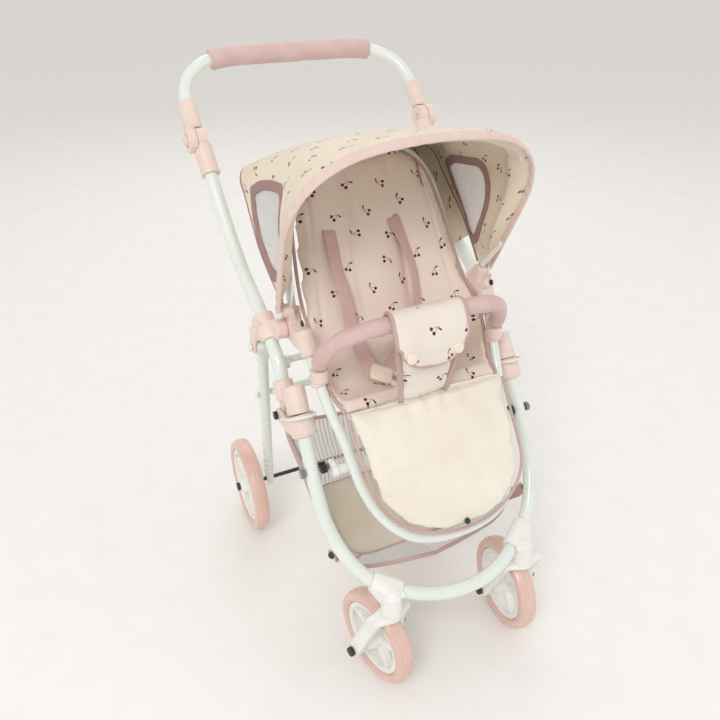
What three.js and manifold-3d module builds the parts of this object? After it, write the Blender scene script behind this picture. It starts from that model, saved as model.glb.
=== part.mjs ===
// Doll stroller: two-piece tube frame with a knee fold, swivelling front casters, a tilting
// seat with bumper bar and canopy, and a shopping basket. Millimetres, +Z up, front towards -Y,
// the floor at Z = 0. The left side is -X and mirrors the right side.
import * as THREE from 'three';
import { mergeVertices } from 'three/addons/utils/BufferGeometryUtils.js';
import Module from 'manifold-3d';

const wasm = await Module();
wasm.setup();
const { Manifold, Mesh: WasmMesh } = wasm;

// ---- driving dimensions ----
const GAP = 0.3;                     // clearance between touching parts
const FACET_TOLERANCE = 0.1;         // how far merged facets may move
const TUBE_R = 8;                    // main frame tube, 16 mm
const LEG_R = 7;                     // rear leg tube
const SEAT_TUBE_R = 6;               // seat leg loop
const BACK_TUBE_R = 5;               // backrest loop
const FRONT_WHEEL_R = 60;
const REAR_WHEEL_R = 70;
const TYRE_HALF = 11;                // half the tyre width
const CASTER = { x: 90, y: -171, trail: 26 };
const STEER = { R: -3.6, L: 12.4 };   // degrees each caster is turned as it stands
const REAR_AXLE = { y: 170, z: REAR_WHEEL_R, wheelX: 159 };
const FOLD = { x: 141, y: 8, z: 305 };       // knee pivot of the frame
const LEG_PIVOT = { x: 152, y: 50, z: 378 };
const HUB = { x: 120, y: 31, z: 405 };       // seat pivot
const KNUCKLE = { x: 157, y: 237, z: 571 };  // handle pivot
const CANOPY = { y: 24, z: 430 };            // canopy bow pivot

// ---- centre lines, right side, upwards or outwards ----
const FRONT_HALF = [[138.5, -35, 322], [139, -54.7, 294], [140, -72.7, 265], [139.5, -85.5, 245],
  [138, -98, 226], [134.5, -109, 210.5], [129.5, -120, 196.5], [122, -131, 183],
  [113, -140.5, 171.5], [101.5, -149.5, 161], [86, -159, 152.5], [66.5, -170.5, 148],
  [45.5, -180, 145.5], [22.5, -185.8, 143.5], [0, -187.5, 143]];
const PUSH = [[143, -1, 335], [143, 8, 349], [143, 14, 367], [143.5, 36, 386], [144, 54, 402],
  [145, 76, 416], [146, 98, 427], [147, 118, 439], [148.3, 138, 456], [150.5, 170, 490],
  [153, 205, 533], [154, 218, 549]];
const HANDLE_HALF = [[158, 251, 584], [158.5, 264, 597], [158, 277, 609], [155, 288, 621],
  [149, 297, 631], [140, 305, 638.5], [128, 313, 644.5], [114, 320, 648.5], [96, 324, 651],
  [60, 325.5, 652], [0, 326, 652]];
const LEG_LOOP_HALF = [[117.5, -9, 404], [115.5, -25, 378], [109.8, -52, 338], [103.5, -74, 311],
  [100, -89, 288], [96, -103, 265], [90, -119, 247], [81, -134, 233.5], [69, -147, 224],
  [55, -156, 217], [30, -162.5, 212], [0, -164.5, 211]];
const BACK_LOOP_HALF = [[112, 46, 409], [111, 57, 431], [108, 70, 456], [104, 85, 486],
  [98, 101, 518], [88, 113, 542], [70, 123, 560], [40, 129, 570], [0, 131, 573]];

// ---- helpers ----
const V = (p) => new THREE.Vector3(p[0], p[1], p[2]);
const mirrorX = (half) => [...half.map(([x, y, z]) => [-x, y, z]), ...half.slice(0, -1).reverse()];

// Three.js geometry to a manifold solid and back.
function solid(geometry) {
  const g = geometry.clone();
  for (const name of Object.keys(g.attributes)) if (name !== 'position') g.deleteAttribute(name);
  const m = mergeVertices(g, 1e-4);
  const s = new Manifold(new WasmMesh({
    numProp: 3,
    vertProperties: new Float32Array(m.attributes.position.array),
    triVerts: new Uint32Array(m.index.array),
  }));
  return s.volume() < 0 ? flip(m) : s;
}

function flip(m) {
  const t = new Uint32Array(m.index.array);
  for (let i = 0; i < t.length; i += 3) [t[i], t[i + 1]] = [t[i + 1], t[i]];
  return new Manifold(new WasmMesh({
    numProp: 3, vertProperties: new Float32Array(m.attributes.position.array), triVerts: t,
  }));
}

function toGeometry(s) {
  const m = s.simplify(FACET_TOLERANCE).getMesh();
  const g = new THREE.BufferGeometry();
  const xyz = new Float32Array(m.numVert * 3);
  for (let i = 0; i < m.numVert; i++) {
    for (let k = 0; k < 3; k++) xyz[3 * i + k] = m.vertProperties[i * m.numProp + k];
  }
  g.setAttribute('position', new THREE.BufferAttribute(xyz, 3));
  g.setIndex(Array.from(m.triVerts));
  return g;
}

const join = (...parts) => Manifold.union(parts);
const mirrored = (s) => s.mirror([1, 0, 0]);

// A closed surface from rings of points: rows of equal length, capped at both ends.
function loft(rows, closedRing = true) {
  const n = rows[0].length;
  const pts = rows.flat().flatMap((p) => p);
  const tri = [];
  const at = (r, i) => r * n + ((i + n) % n);
  for (let r = 0; r + 1 < rows.length; r++) {
    for (let i = 0; i < (closedRing ? n : n - 1); i++) {
      tri.push(at(r, i), at(r, i + 1), at(r + 1, i + 1), at(r, i), at(r + 1, i + 1), at(r + 1, i));
    }
  }
  const cap = (r, sign) => {
    const c = [0, 0, 0];
    rows[r].forEach((p) => p.forEach((v, k) => { c[k] += v / n; }));
    const id = pts.length / 3;
    pts.push(...c);
    for (let i = 0; i < n; i++) {
      tri.push(...(sign > 0 ? [id, at(r, i), at(r, i + 1)] : [id, at(r, i + 1), at(r, i)]));
    }
  };
  cap(0, -1);
  cap(rows.length - 1, 1);
  const g = new THREE.BufferGeometry();
  g.setAttribute('position', new THREE.Float32BufferAttribute(pts, 3));
  g.setIndex(tri);
  return solid(g);
}

// A round bar along a smooth centre line.
function bar(points, radius, segments = 24, sides = 10) {
  const curve = new THREE.CatmullRomCurve3(points.map(V), false, 'centripetal');
  const rows = [];
  let normal = null;
  for (let i = 0; i <= segments; i++) {
    const u = i / segments;
    const t = curve.getTangentAt(u);
    if (!normal) normal = new THREE.Vector3(1, 0, 0).cross(t).normalize();
    if (normal.lengthSq() < 1e-6) normal.set(0, 0, 1);
    normal.addScaledVector(t, -normal.dot(t)).normalize();
    const b = new THREE.Vector3().crossVectors(t, normal);
    const c = curve.getPointAt(u);
    rows.push(Array.from({ length: sides }, (_, k) => {
      const a = (2 * Math.PI * k) / sides;
      const p = c.clone().addScaledVector(normal, radius * Math.cos(a))
        .addScaledVector(b, radius * Math.sin(a));
      return [p.x, p.y, p.z];
    }));
  }
  return loft(rows);
}

// A straight round bar between two points.
const rod = (a, b, r, sides = 12, r2 = r) => {
  const d = V(b).sub(V(a));
  const g = new THREE.CylinderGeometry(r2, r, d.length(), sides);
  g.applyQuaternion(new THREE.Quaternion().setFromUnitVectors(
    new THREE.Vector3(0, 1, 0), d.clone().normalize()));
  g.translate(...V(a).addScaledVector(d, 0.5).toArray());
  return solid(g);
};
const rodX = (x0, x1, y, z, r, sides = 12) => rod([x0, y, z], [x1, y, z], r, sides);

function box(cx, cy, cz, sx, sy, sz) {
  const g = new THREE.BoxGeometry(sx, sy, sz);
  g.translate(cx, cy, cz);
  return solid(g);
}

// A profile of (radius, x) points turned about the X axis and moved to a centre.
function turnedX(profile, [x, y, z], sides = 28) {
  const g = new THREE.LatheGeometry(profile.map(([r, h]) => new THREE.Vector2(r, h)), sides);
  g.rotateZ(-Math.PI / 2);
  g.translate(x, y, z);
  return solid(g);
}

const hull = (...parts) => Manifold.hull(parts);

// ---- wheels ----
function tyre(radius, inner, at) {
  const h = TYRE_HALF;
  const p = [[inner, -h + 1.5], [inner + 4, -h], [radius - 5, -h + 0.8], [radius - 1.4, -h + 4.5],
    [radius, 0], [radius - 1.4, h - 4.5], [radius - 5, h - 0.8], [inner + 4, h], [inner, h - 1.5],
    [inner, -h + 1.5]];
  return turnedX(p, at);
}

function rim(outer, hubHalf, boreR, spokes, at) {
  const [x, y, z] = at;
  const felloe = turnedX([[outer - 7, -8.5], [outer, -8.5], [outer, 8.5], [outer - 7, 8.5],
    [outer - 7, -8.5]], at);
  const hub = turnedX([[boreR, -hubHalf], [9, -hubHalf], [13, -9], [13, 9], [9, hubHalf],
    [boreR, hubHalf], [boreR, -hubHalf]], at, 14);
  const arms = [];
  for (let i = 0; i < spokes; i++) {
    const a = (2 * Math.PI * i) / spokes + 0.3;
    const c = [y + Math.cos(a), z + Math.sin(a)];
    const inner = rodX(x - 5, x + 5, y + 10 * (c[0] - y), z + 10 * (c[1] - z), 6, 8);
    const end = rodX(x - 5, x + 5, y + (outer - 5) * (c[0] - y), z + (outer - 5) * (c[1] - z), 3.6, 8);
    arms.push(hull(inner, end));
  }
  const bore = rodX(x - hubHalf - 1, x + hubHalf + 1, y, z, boreR, 14);
  return join(felloe, hub, ...arms).subtract(bore);
}

// ---- front frame ----
const frontPath = mirrorX(FRONT_HALF);
const crossBolt = { y: -67.5, z: 274 };

function frontTube() {
  return bar(frontPath, TUBE_R, 40, 8)
    .subtract(rodX(-170, 170, crossBolt.y, crossBolt.z, 3 + GAP, 16));
}

const frontCutter = bar(frontPath, TUBE_R + GAP, 40, 8);

// The knee half on the front tube: a clamp ring whose two rear ears carry the fold bolt.
function foldLower() {
  const low = [137.8, -45, 307], high = [138.6, -31.3, 327.5];
  const ring = rod(low, high, 14.5, 14);
  const lip = rod([137.9, -43, 310], [138, -41.5, 312.3], 15.6, 14);
  const ear = (x0, x1) => hull(rodX(x0, x1, FOLD.y, FOLD.z, 8, 14), rodX(x0, x1, -30, 313, 9, 14));
  const ears = join(ear(129.5, 134), ear(148, 152.5));
  const web = hull(box(141, -22, 303, 23, 4, 6), box(141, -26, 314, 23, 4, 8));
  const hole = rodX(120, 160, FOLD.y, FOLD.z, 3 + GAP, 16);
  const mouth = box(141, 14, 314, 13.4, 60, 60).subtract(box(141, -33, 314, 14, 14, 60));
  return join(ring, lip, ears.subtract(mouth), web).subtract(frontCutter).subtract(hole);
}

const foldBolt = () => join(
  rodX(127, 155, FOLD.y, FOLD.z, 3, 16),
  rodX(152.9, 156.5, FOLD.y, FOLD.z, 5.5, 6),
  rodX(125.4, 129.1, FOLD.y, FOLD.z, 5.5, 6));

// Caster bracket: a saddle round the front tube with the swivel housing in front of it.
function casterBracket() {
  const { x, y } = CASTER;
  const saddle = hull(rod([104, -147.5, 162.5], [76, -165, 150], 11.6, 14), rod([x, y + 5, 139], [x, y + 5, 162], 10, 14));
  const housing = rod([x, y, 129.4], [x, y, 158], 12.6, 14, 11.4);
  const step = rod([x, y, 157], [x, y, 161.5], 9.6, 14);
  const cap = rod([x, y, 160], [x, y, 165], 7.4, 14, 6.4);
  const screws = [[101, -160, 163], [79, -176, 155]].map(([sx, sy, sz]) =>
    rod([sx, sy + 9, sz - 6], [sx, sy - 0.5, sz + 1.2], 3.6, 12));
  const pocket = rod([x, y, 120], [x, y, 152], 4 + GAP, 14);
  return join(saddle, housing, step, cap, ...screws).subtract(frontCutter).subtract(pocket);
}

const sideBolt = () => join(
  rodX(112, 150, crossBolt.y, crossBolt.z, 3, 16),
  rodX(149, 153.5, crossBolt.y, crossBolt.z, 6, 6));

function torsionSpring() {
  const pts = [];
  const turns = 4, r = 6.4;
  for (let i = 0; i <= turns * 12; i++) {
    const a = (i / 12) * 2 * Math.PI;
    pts.push([130 - (7.2 * i) / (turns * 12), crossBolt.y + r * Math.cos(a), crossBolt.z + r * Math.sin(a)]);
  }
  return bar(pts, 0.8, turns * 9, 5);
}

// Sprung cross bar between the sides of the front tube, with flattened, drilled ends.
function crossBar() {
  const y = crossBolt.y - 11, z = crossBolt.z;
  const tube = rodX(-112, 112, y, z, 5.5, 14);
  const tab = (s) => hull(rodX(113 * s, 120 * s, y, z, 7, 14), rodX(113 * s, 120 * s, crossBolt.y, z, 7, 14),
    );
  const end = (s) => join(tab(s), rodX(108 * s, 116 * s, y, z, 5.5, 14));
  return join(tube, end(1), end(-1)).subtract(rodX(-130, 130, crossBolt.y, z, 3 + GAP, 16));
}

// ---- casters ----
const wheelAt = { x: CASTER.x, y: CASTER.y + CASTER.trail, z: FRONT_WHEEL_R };

function fork() {
  const { x, y } = CASTER;
  const crown = hull(rod([x, y, 121.6], [x, y, 129], 12.2, 14), box(x, y + 3, 124.5, 50, 14, 5.5));
  const stem = rod([x, y, 128], [x, y, 150], 4, 14);
  const arm = (s) => {
    const top = box(x + 22 * s, y + 3, 124.5, 7, 15, 5.5);
    const knee = rodX(x + 17 * s, x + 27 * s, wheelAt.y - 13, 100, 8, 16);
    const eye = rodX(x + 27 * s, x + 36 * s, wheelAt.y, wheelAt.z, 9, 14);
    return join(hull(top, knee), hull(knee, eye));
  };
  const bore = rodX(x - 60, x + 60, wheelAt.y, wheelAt.z, 3 + GAP, 16);
  return join(crown, stem, arm(1), arm(-1)).subtract(bore);
}

const frontAxle = () => join(
  rodX(wheelAt.x - 39, wheelAt.x + 39, wheelAt.y, wheelAt.z, 3, 16),
  rodX(wheelAt.x - 41.5, wheelAt.x - 36.4, wheelAt.y, wheelAt.z, 5.6, 6),
  rodX(wheelAt.x + 36.4, wheelAt.x + 41.5, wheelAt.y, wheelAt.z, 5.6, 6));

// ---- push frame ----
const pushCutter = bar([...PUSH, [154.15, 219.5, 550.9]], TUBE_R + GAP, 22, 8);

const pushTube = () => bar(PUSH, TUBE_R, 22, 8);

// The knee half on the push tube: a capped collar, a socket for the tube and a tongue.
function foldUpper() {
  const collar = rod([138.7, -30.5, 328.2], [137.6, -12.5, 354.5], 13.2, 14, 12.8);
  const socket = rod([143, -3, 332], [143, 9, 351], 11.6, 14);
  const bridge = hull(box(140, -20, 341, 16, 10, 14), box(143, 0, 341, 14, 8, 16));
  const tongue = hull(rodX(134.4, 147.6, FOLD.y, FOLD.z, 7.4, 14), box(141, 1, 334, 13.2, 14, 6));
  const groove = rod([138, -26.5, 333.5], [137.9, -25.4, 335.2], 16, 14)
    .subtract(rod([138, -27, 332.5], [137.9, -25, 336], 12.6, 14));
  return join(collar, socket, bridge, tongue).subtract(pushCutter).subtract(groove)
    .subtract(rodX(120, 160, FOLD.y, FOLD.z, 3 + GAP, 16))
    .subtract(rod([138.9, -33, 324], [138.6, -31.1, 328.1], 22, 14));
}

// Clamp on the push tube: outer pad, seat boss inwards, pivot ears for the rear leg.
function pushBracket() {
  const sleeve = rod([143.4, 38, 389], [144.8, 62, 410], 12.4, 14);
  const pad = hull(box(156.5, 50, 399, 6, 14, 22), box(146, 50, 399, 10, 14, 14));
  const boss = hull(rodX(128, 140, HUB.y, HUB.z, 12, 14), box(142, 46, 400, 6, 12, 14));
  const pin = rodX(118, 130, HUB.y, HUB.z, 5, 14);
  const lobe = hull(rodX(139.5, 142.8, LEG_PIVOT.y, LEG_PIVOT.z, 8, 14), box(141.5, 50, 394, 3.6, 14, 10));
  const outer = hull(rodX(160.8, 163.5, LEG_PIVOT.y, LEG_PIVOT.z, 8, 14), box(160.8, 50, 396, 4.4, 14, 10));
  const tie = box(151.5, 54, 402, 14, 14, 12);
  const legRoom = join(rodX(143.1, 160.5, LEG_PIVOT.y, LEG_PIVOT.z, 9.2, 14),
    rod([152, 50, 378], [149.6, 80, 381.3], 7.5, 14));
  return join(sleeve, pad, boss, pin, lobe, outer, tie).subtract(legRoom).subtract(pushCutter)
    .subtract(rodX(130, 170, LEG_PIVOT.y, LEG_PIVOT.z, 3 + GAP, 16));
}

function upperCrossBar() {
  const at = { y: 41, z: 356 };
  const bracketEnd = hull(rodX(128, 132, at.y, at.z, 7, 16), rodX(128, 132, 27, 361, 7, 16));
  const plate = bracketEnd.subtract(pushCutter);
  return join(rodX(-130, 130, at.y, at.z, 4.5, 16), plate, mirrored(plate));
}

// ---- handle ----
const lowerDir = [0, -0.64, -0.768], upperDir = [0, 0.72, 0.694];
const along = (d, s, x = KNUCKLE.x) => [x, KNUCKLE.y + d[1] * s, KNUCKLE.z + d[2] * s];

function knuckleLower() {
  const disc = rodX(148, 159.6, KNUCKLE.y, KNUCKLE.z, 14.6, 14);
  const sleeve = rod(along(lowerDir, 8, 154.5), along(lowerDir, 46, 152.8), 11.4, 14);
  const collar = rod(along(lowerDir, 42, 153), along(lowerDir, 46.5, 152.8), 12.2, 14);
  return join(disc, sleeve, collar).subtract(rodX(147, 160, KNUCKLE.y, KNUCKLE.z, 4, 14))
    .subtract(rodX(159.8, 172, KNUCKLE.y, KNUCKLE.z, 15.8, 14)).subtract(pushCutter);
}

function knuckleUpper() {
  const disc = rodX(160, 171, KNUCKLE.y, KNUCKLE.z, 15.2, 14);
  const neck = hull(box(165, ...along(upperDir, 14).slice(1), 9, 14, 14), rod(along(upperDir, 19, 159.5), along(upperDir, 14, 159), 11.6, 14));
  const sleeve = rod(along(upperDir, 19, 158.6), along(upperDir, 52, 158.4), 11.6, 14);
  const pocket = rodX(165.4, 175, KNUCKLE.y, KNUCKLE.z, 6.8, 14);
  const clear = rodX(140, 159.8, KNUCKLE.y, KNUCKLE.z, 15.2, 14);
  const axle = rodX(149, 161, KNUCKLE.y, KNUCKLE.z, 3.7, 14);
  return join(join(disc, neck, sleeve).subtract(clear), axle).subtract(pocket).subtract(handleCutter);
}

const handlePath = mirrorX(HANDLE_HALF);
const handleCutter = bar(handlePath, TUBE_R + GAP, 36, 8);
const handleTube = () => bar(handlePath, TUBE_R, 36, 8);

function handleGrip() {
  const pts = [];
  for (const [x, y, z] of [[-114, 320, 648.5], [-96, 324, 651], [-60, 325.5, 652], [0, 326, 652],
    [60, 325.5, 652], [96, 324, 651], [114, 320, 648.5]]) pts.push([x, y, z]);
  return bar(pts, 13, 10, 12).subtract(handleCutter);
}

const knuckleButton = () => join(
  rodX(168, 173.2, KNUCKLE.y, KNUCKLE.z, 6.3, 14),
  rod([173, KNUCKLE.y, KNUCKLE.z], [174.6, KNUCKLE.y, KNUCKLE.z], 6.3, 14, 5));

// ---- rear legs ----
const legTop = [LEG_PIVOT.x, LEG_PIVOT.y, LEG_PIVOT.z];
const legEnd = [127.5, REAR_AXLE.y, REAR_AXLE.z];
const legAt = (s) => legTop.map((v, k) => v + (legEnd[k] - v) * s);

function rearLeg() {
  const eye = hull(rodX(144, 160, LEG_PIVOT.y, LEG_PIVOT.z, 6.6, 14), rod(legAt(0.05), legAt(0.1), LEG_R, 16));
  const shaft = rod(legAt(0.06), legAt(0.93), LEG_R, 14);
  const foot = hull(rod(legAt(0.88), legAt(0.94), LEG_R - 0.6, 14),
    rodX(123.5, 131.5, REAR_AXLE.y, REAR_AXLE.z, 10, 14));
  const bolt = rodX(130, 168, LEG_PIVOT.y, LEG_PIVOT.z, 3, 16);
  const head = rodX(164, 167.5, LEG_PIVOT.y, LEG_PIVOT.z, 5, 12);
  const c = legAt(0.3);
  const barHole = rodX(c[0] - 12, c[0] + 12, c[1], c[2], 3 + GAP, 16);
  return join(eye, shaft, foot, bolt.subtract(rodX(120, 137.6, LEG_PIVOT.y, LEG_PIVOT.z, 6)), head)
    .subtract(rodX(110, 140, REAR_AXLE.y, REAR_AXLE.z, 3 + GAP, 16)).subtract(barHole);
}

function legCrossBar() {
  const c = legAt(0.3);
  const inner = c[0] - 9;
  return join(rodX(-inner, inner, c[1], c[2], 5, 14), rodX(-c[0] - 10, c[0] + 10, c[1], c[2], 3, 16),
    rodX(c[0] + 8.4, c[0] + 11.5, c[1], c[2], 5, 12), rodX(-c[0] - 11.5, -c[0] - 8.4, c[1], c[2], 5, 12));
}

const rearAxle = () => join(rodX(-176, 176, REAR_AXLE.y, REAR_AXLE.z, 3, 14),
  rodX(174.6, 178.5, REAR_AXLE.y, REAR_AXLE.z, 6, 14), rodX(-178.5, -174.6, REAR_AXLE.y, REAR_AXLE.z, 6, 14));

// ---- seat ----
const loopPath = mirrorX(LEG_LOOP_HALF);
const backPath = mirrorX(BACK_LOOP_HALF);
const loopCutter = bar(loopPath, SEAT_TUBE_R + GAP, 36, 8);
const backCutter = bar(backPath, BACK_TUBE_R + GAP, 32, 8);

function seatHub() {
  const disc = rodX(114.5, 127.7, HUB.y, HUB.z, 14, 14);
  const arm = hull(rodX(115, 126, HUB.y, HUB.z, 12.5, 14), rod([119, -2, 396], [119.5, 2, 414], 10, 14));
  const sleeve = rod([116, -17, 390.5], [118.5, -1, 415], 10.5, 14);
  const socket = rod([112.4, 40, 398], [111.4, 51, 419], 8.6, 14);
  const link = hull(rodX(114.5, 120, HUB.y, HUB.z, 10, 14), rod([113, 42, 402], [112, 48, 413], 7.4, 14));
  const clip = join(rodX(121, 133.5, CANOPY.y, CANOPY.z, 7.6),
    hull(rodX(121, 127, CANOPY.y, CANOPY.z, 7.6), rodX(117, 126, HUB.y - 4, HUB.z + 6, 9)));
  return join(disc, arm, sleeve, socket, link, clip)
    .subtract(rodX(112, 140, HUB.y, HUB.z, 5 + GAP, 14))
    .subtract(rodX(126.5, 140, CANOPY.y, CANOPY.z, 2.6 + GAP, 16))
    .subtract(loopCutter).subtract(backCutter);
}

const seatLegTube = () => bar(loopPath, SEAT_TUBE_R, 36, 8);
const seatBackTube = () => bar(backPath, BACK_TUBE_R, 32, 8);

// Padded liner: back pad, seat pad and side wings in one piece, inside the tube loops.
function seatLiner() {
  const d = [0.466, 0.885], n = [-0.885, 0.466];
  const backPoint = (s, o) => [46 + d[0] * s + n[0] * o, 409 + d[1] * s + n[1] * o];
  const slab = (s, half, o0, o1) => [[-half, ...backPoint(s, o0)], [half, ...backPoint(s, o0)],
    [half, ...backPoint(s, o1)], [-half, ...backPoint(s, o1)]];
  const back = loft([slab(-68, 92, 8, 22), slab(0, 100, 8, 22), slab(90, 92, 8, 22), slab(140, 80, 8, 22),
    slab(162, 62, 8, 22), slab(170, 36, 8, 22)]);
  const pad = loft([[-62, 336, 346], [-40, 330, 344], [0, 330, 344], [26, 330, 346]].map(([y, z0, z1]) => {
    const w = y < -55 ? 94 : 98;
    return [[-w, y, z0], [w, y, z0], [w, y, z1], [-w, y, z1]];
  }));
  const wing = (s) => hull(box(97.5 * s, -25, 352, 4, 44, 14), box(97.5 * s, 14, 372, 4, 14, 60));
  return join(back, pad, wing(1), wing(-1)).subtract(loopCutter).subtract(backCutter);
}

// Foot panel: a thin pad over the front of the leg loop, rounded at the bottom.
function footPanel() {
  const rows = [];
  const a = [-70, 333], b = [-168, 220];
  const len = Math.hypot(b[0] - a[0], b[1] - a[1]);
  const dir = [(b[0] - a[0]) / len, (b[1] - a[1]) / len], n = [-0.755, 0.656];
  for (const s of [0, 0.12, 0.3, 0.5, 0.68, 0.8, 0.89, 0.95, 0.985]) {
    const half = s < 0.5 ? 100 - 10 * s : 95 * Math.sqrt(Math.max(0.05, 1 - ((s - 0.5) / 0.5) ** 2.2)) + 0.01;
    const y = a[0] + dir[0] * len * s, z = a[1] + dir[1] * len * s;
    const at = (o) => [y + n[0] * o, z + n[1] * o];
    rows.push([[-half, ...at(7.5)], [half, ...at(7.5)], [half, ...at(13)], [-half, ...at(13)]]);
  }
  return loft(rows);
}

// Bumper bar: a padded arc from socket to socket.
const BUMPER_HALF = [[113.5, -35.4, 388.2], [113, -38.8, 395], [111, -43.5, 404], [106, -49.5, 415],
  [97, -57, 425], [83, -65, 434], [63, -71.5, 440], [35, -75.5, 443], [0, -77, 444]];
const bumperBar = () => bar(mirrorX(BUMPER_HALF), 9.5, 26, 10);

function bumperSocket() {
  const clamp = rod([113.6, -36, 361.5], [114.6, -28, 373.5], 9.8, 14);
  const cup = rod([113.5, -35, 369], [113.5, -34.2, 382.2], 10.3, 14);
  return join(clamp, hull(rod([113.9, -33, 366], [114.3, -30, 370], 8.6), cup)).subtract(loopCutter);
}

// Crotch panel: a tapering pad from the bumper bar down to the seat front.
function crotchPanel() {
  const rows = [[-90.8, 447, 40, 3], [-92.3, 432, 42, 3], [-88, 405, 37, 3], [-83, 375, 31, 3],
    [-79, 352, 27, 3]].map(([y, z, half, t]) => [[-half - 8, y, z], [half - 8, y, z],
    [half - 8, y + t, z], [-half - 8, y + t, z]]);
  return loft(rows);
}

// ---- canopy ----
// Half arches of the front bow and of the rear edge, each in its own plane through the pivot
// line: x across, r out from the pivot. The cloth is stretched nearly straight between the two.
const FRONT_BOW = 113, REAR_EDGE = 42;       // degrees up from the rear
const FRONT_ARCH = [[137, 0], [140.5, 58], [142, 98], [142, 123], [138.6, 142], [132, 160],
  [121, 176], [106, 190.5], [86, 202], [67, 208], [46, 211.5], [21, 214], [0, 214.5]];
const REAR_ARCH = [[127, 0], [133, 45], [135, 80], [134, 110], [133, 130], [132, 150],
  [131, 168], [124, 182], [104, 190], [80, 197], [53, 202], [25, 205], [0, 205.5]];

function archAt(degrees) {
  const rad = Math.PI / 180, span = Math.sin((FRONT_BOW - REAR_EDGE) * rad);
  const a = Math.min(FRONT_BOW, Math.max(REAR_EDGE, degrees));
  const toFront = Math.sin((FRONT_BOW - a) * rad), toRear = Math.sin((a - REAR_EDGE) * rad);
  const half = FRONT_ARCH.map(([x, r], i) => {
    const [xr, rr] = REAR_ARCH[i], sum = r * toFront + rr * toRear;
    if (r === 0) return [x + ((xr - x) * (FRONT_BOW - a)) / (FRONT_BOW - REAR_EDGE), 0];
    const chord = (r * rr * span) / sum, round = r + ((rr - r) * (FRONT_BOW - a)) / (FRONT_BOW - REAR_EDGE);
    return [x + ((xr - x) * r * toFront) / sum, chord + 0.15 * (round - chord)];
  });
  return [...half.map(([x, r]) => [-x, r]), ...half.slice(0, -1).reverse()];
}

// Offsets: to the side, and out from the pivot.
function archPoint([x, r], [side, out], degrees) {
  const scale = (214.5 + out) / 214.5, sx = (142 + side) / 142;
  const a = (degrees * Math.PI) / 180, rr = r * scale;
  return [x * sx, CANOPY.y + rr * Math.cos(a), CANOPY.z + rr * Math.sin(a)];
}

// A shell between two angles; it leaves out the arch's ends, next to the pivot.
function canopyShell(from, to, inner, outer, steps) {
  const ring = (i, offset) => archAt(from + ((to - from) * i) / steps).slice(1, -1)
    .map((p) => archPoint(p, offset, from + ((to - from) * i) / steps));
  const out = [], inn = [];
  for (let i = 0; i <= steps; i++) {
    out.push(ring(i, outer));
    inn.push(ring(i, inner));
  }
  return loft(out[0].map((_, k) => [...out.map((row) => row[k]), ...inn.map((row) => row[k]).reverse()]));
}

function canopyBow() {
  const pts = archAt(FRONT_BOW).slice(1, -1).map((p) => archPoint(p, [-3.2, -6.5], FRONT_BOW));
  const strip = bar([[-138.6, CANOPY.y - 2, CANOPY.z + 8], ...pts, [138.6, CANOPY.y - 2, CANOPY.z + 8]], 2.2, 34, 6);
  const eye = (s) => join(rodX(134 * s, 138.6 * s, CANOPY.y, CANOPY.z, 8, 14),
    rodX(127 * s, 136 * s, CANOPY.y, CANOPY.z, 2.6, 16));
  return join(strip, eye(1), eye(-1), hullTo(1), hullTo(-1));
}
const hullTo = (s) => hull(rodX(134.4 * s, 138.4 * s, CANOPY.y - 1, CANOPY.z + 5, 4, 12),
  rodX(135 * s, 138.2 * s, CANOPY.y - 7, CANOPY.z + 17, 2.6, 12));

// ---- basket: an open sling with gently rising ends ----
function basket() {
  const rim = [[0, -118, 127], [60, -112, 131], [100, -104, 136], [118, -92, 143], [124, -42, 170],
    [125, 14, 200], [124, 73, 226], [112, 92, 224], [60, 97, 214], [0, 98, 210]];
  const floor = [[0, -74, 108], [45, -73, 108], [76, -70, 108], [92, -60, 108], [98, -30, 108],
    [98, 15, 108], [97, 58, 108], [88, 76, 108], [50, 82, 108], [0, 83, 108]];
  const around = (half) => [...half, ...half.slice(1, -1).reverse().map(([x, y, z]) => [-x, y, z])];
  const R = around(rim), F = around(floor);
  const mix = (a, b, t, o) => a.map((v, k) => v + (b[k] - v) * t + o[k]);
  const inward = (p) => { const l = Math.hypot(p[0], p[1] + 8); return [(-p[0] / l) * 2.6, (-(p[1] + 8) / l) * 2.6, 0]; };
  const ring = (t, inner) => R.map((p, i) => mix(p, F[i], t, inner ? inward(p) : [0, 0, 0])
    .map((v, k) => v + (k === 2 && inner && t > 0.9 ? 2.4 : 0)));
  return loft([ring(1, false), ring(0.6, false), ring(0, false), ring(0, true), ring(0.6, true), ring(1, true)]);
}

// ---- lock wire: a bail over the knee ----
function lockWire() {
  const p = [[155.4, -14, 314], [155.4, -26, 323], [154, -40, 330.5], [147, -49.5, 336], [138, -52, 337.5],
    [129, -49.5, 336], [122.8, -40, 330.5], [122.4, -26, 323], [122.4, -14, 314]];
  return bar(p, 1.7, 18, 6);
}

// ---- scene graph ----
const root = new THREE.Group();
root.name = 'doll_stroller';
const finish = {
  paint: [0xe4e9e2, 0.3, 0.1], pink: [0xe8cfc4, 0.42, 0], white: [0xe9e9e4, 0.45, 0],
  steel: [0x9a9a98, 0.3, 0.9], black: [0x2c2c2e, 0.4, 0.6], tyre: [0xd9a79a, 0.28, 0],
  fabric: [0xdccfc0, 0.85, 0], cream: [0xe6e0d6, 0.85, 0], foam: [0xc9afab, 0.8, 0],
};

function add(name, s, look) {
  const [color, roughness, metalness] = finish[look];
  const mesh = new THREE.Mesh(toGeometry(s), new THREE.MeshStandardMaterial({ color, roughness, metalness }));
  mesh.name = name;
  root.add(mesh);
}

function addPair(name, s, look) {
  add(`${name}_R`, s, look);
  add(`${name}_L`, mirrored(s), look);
}

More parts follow.
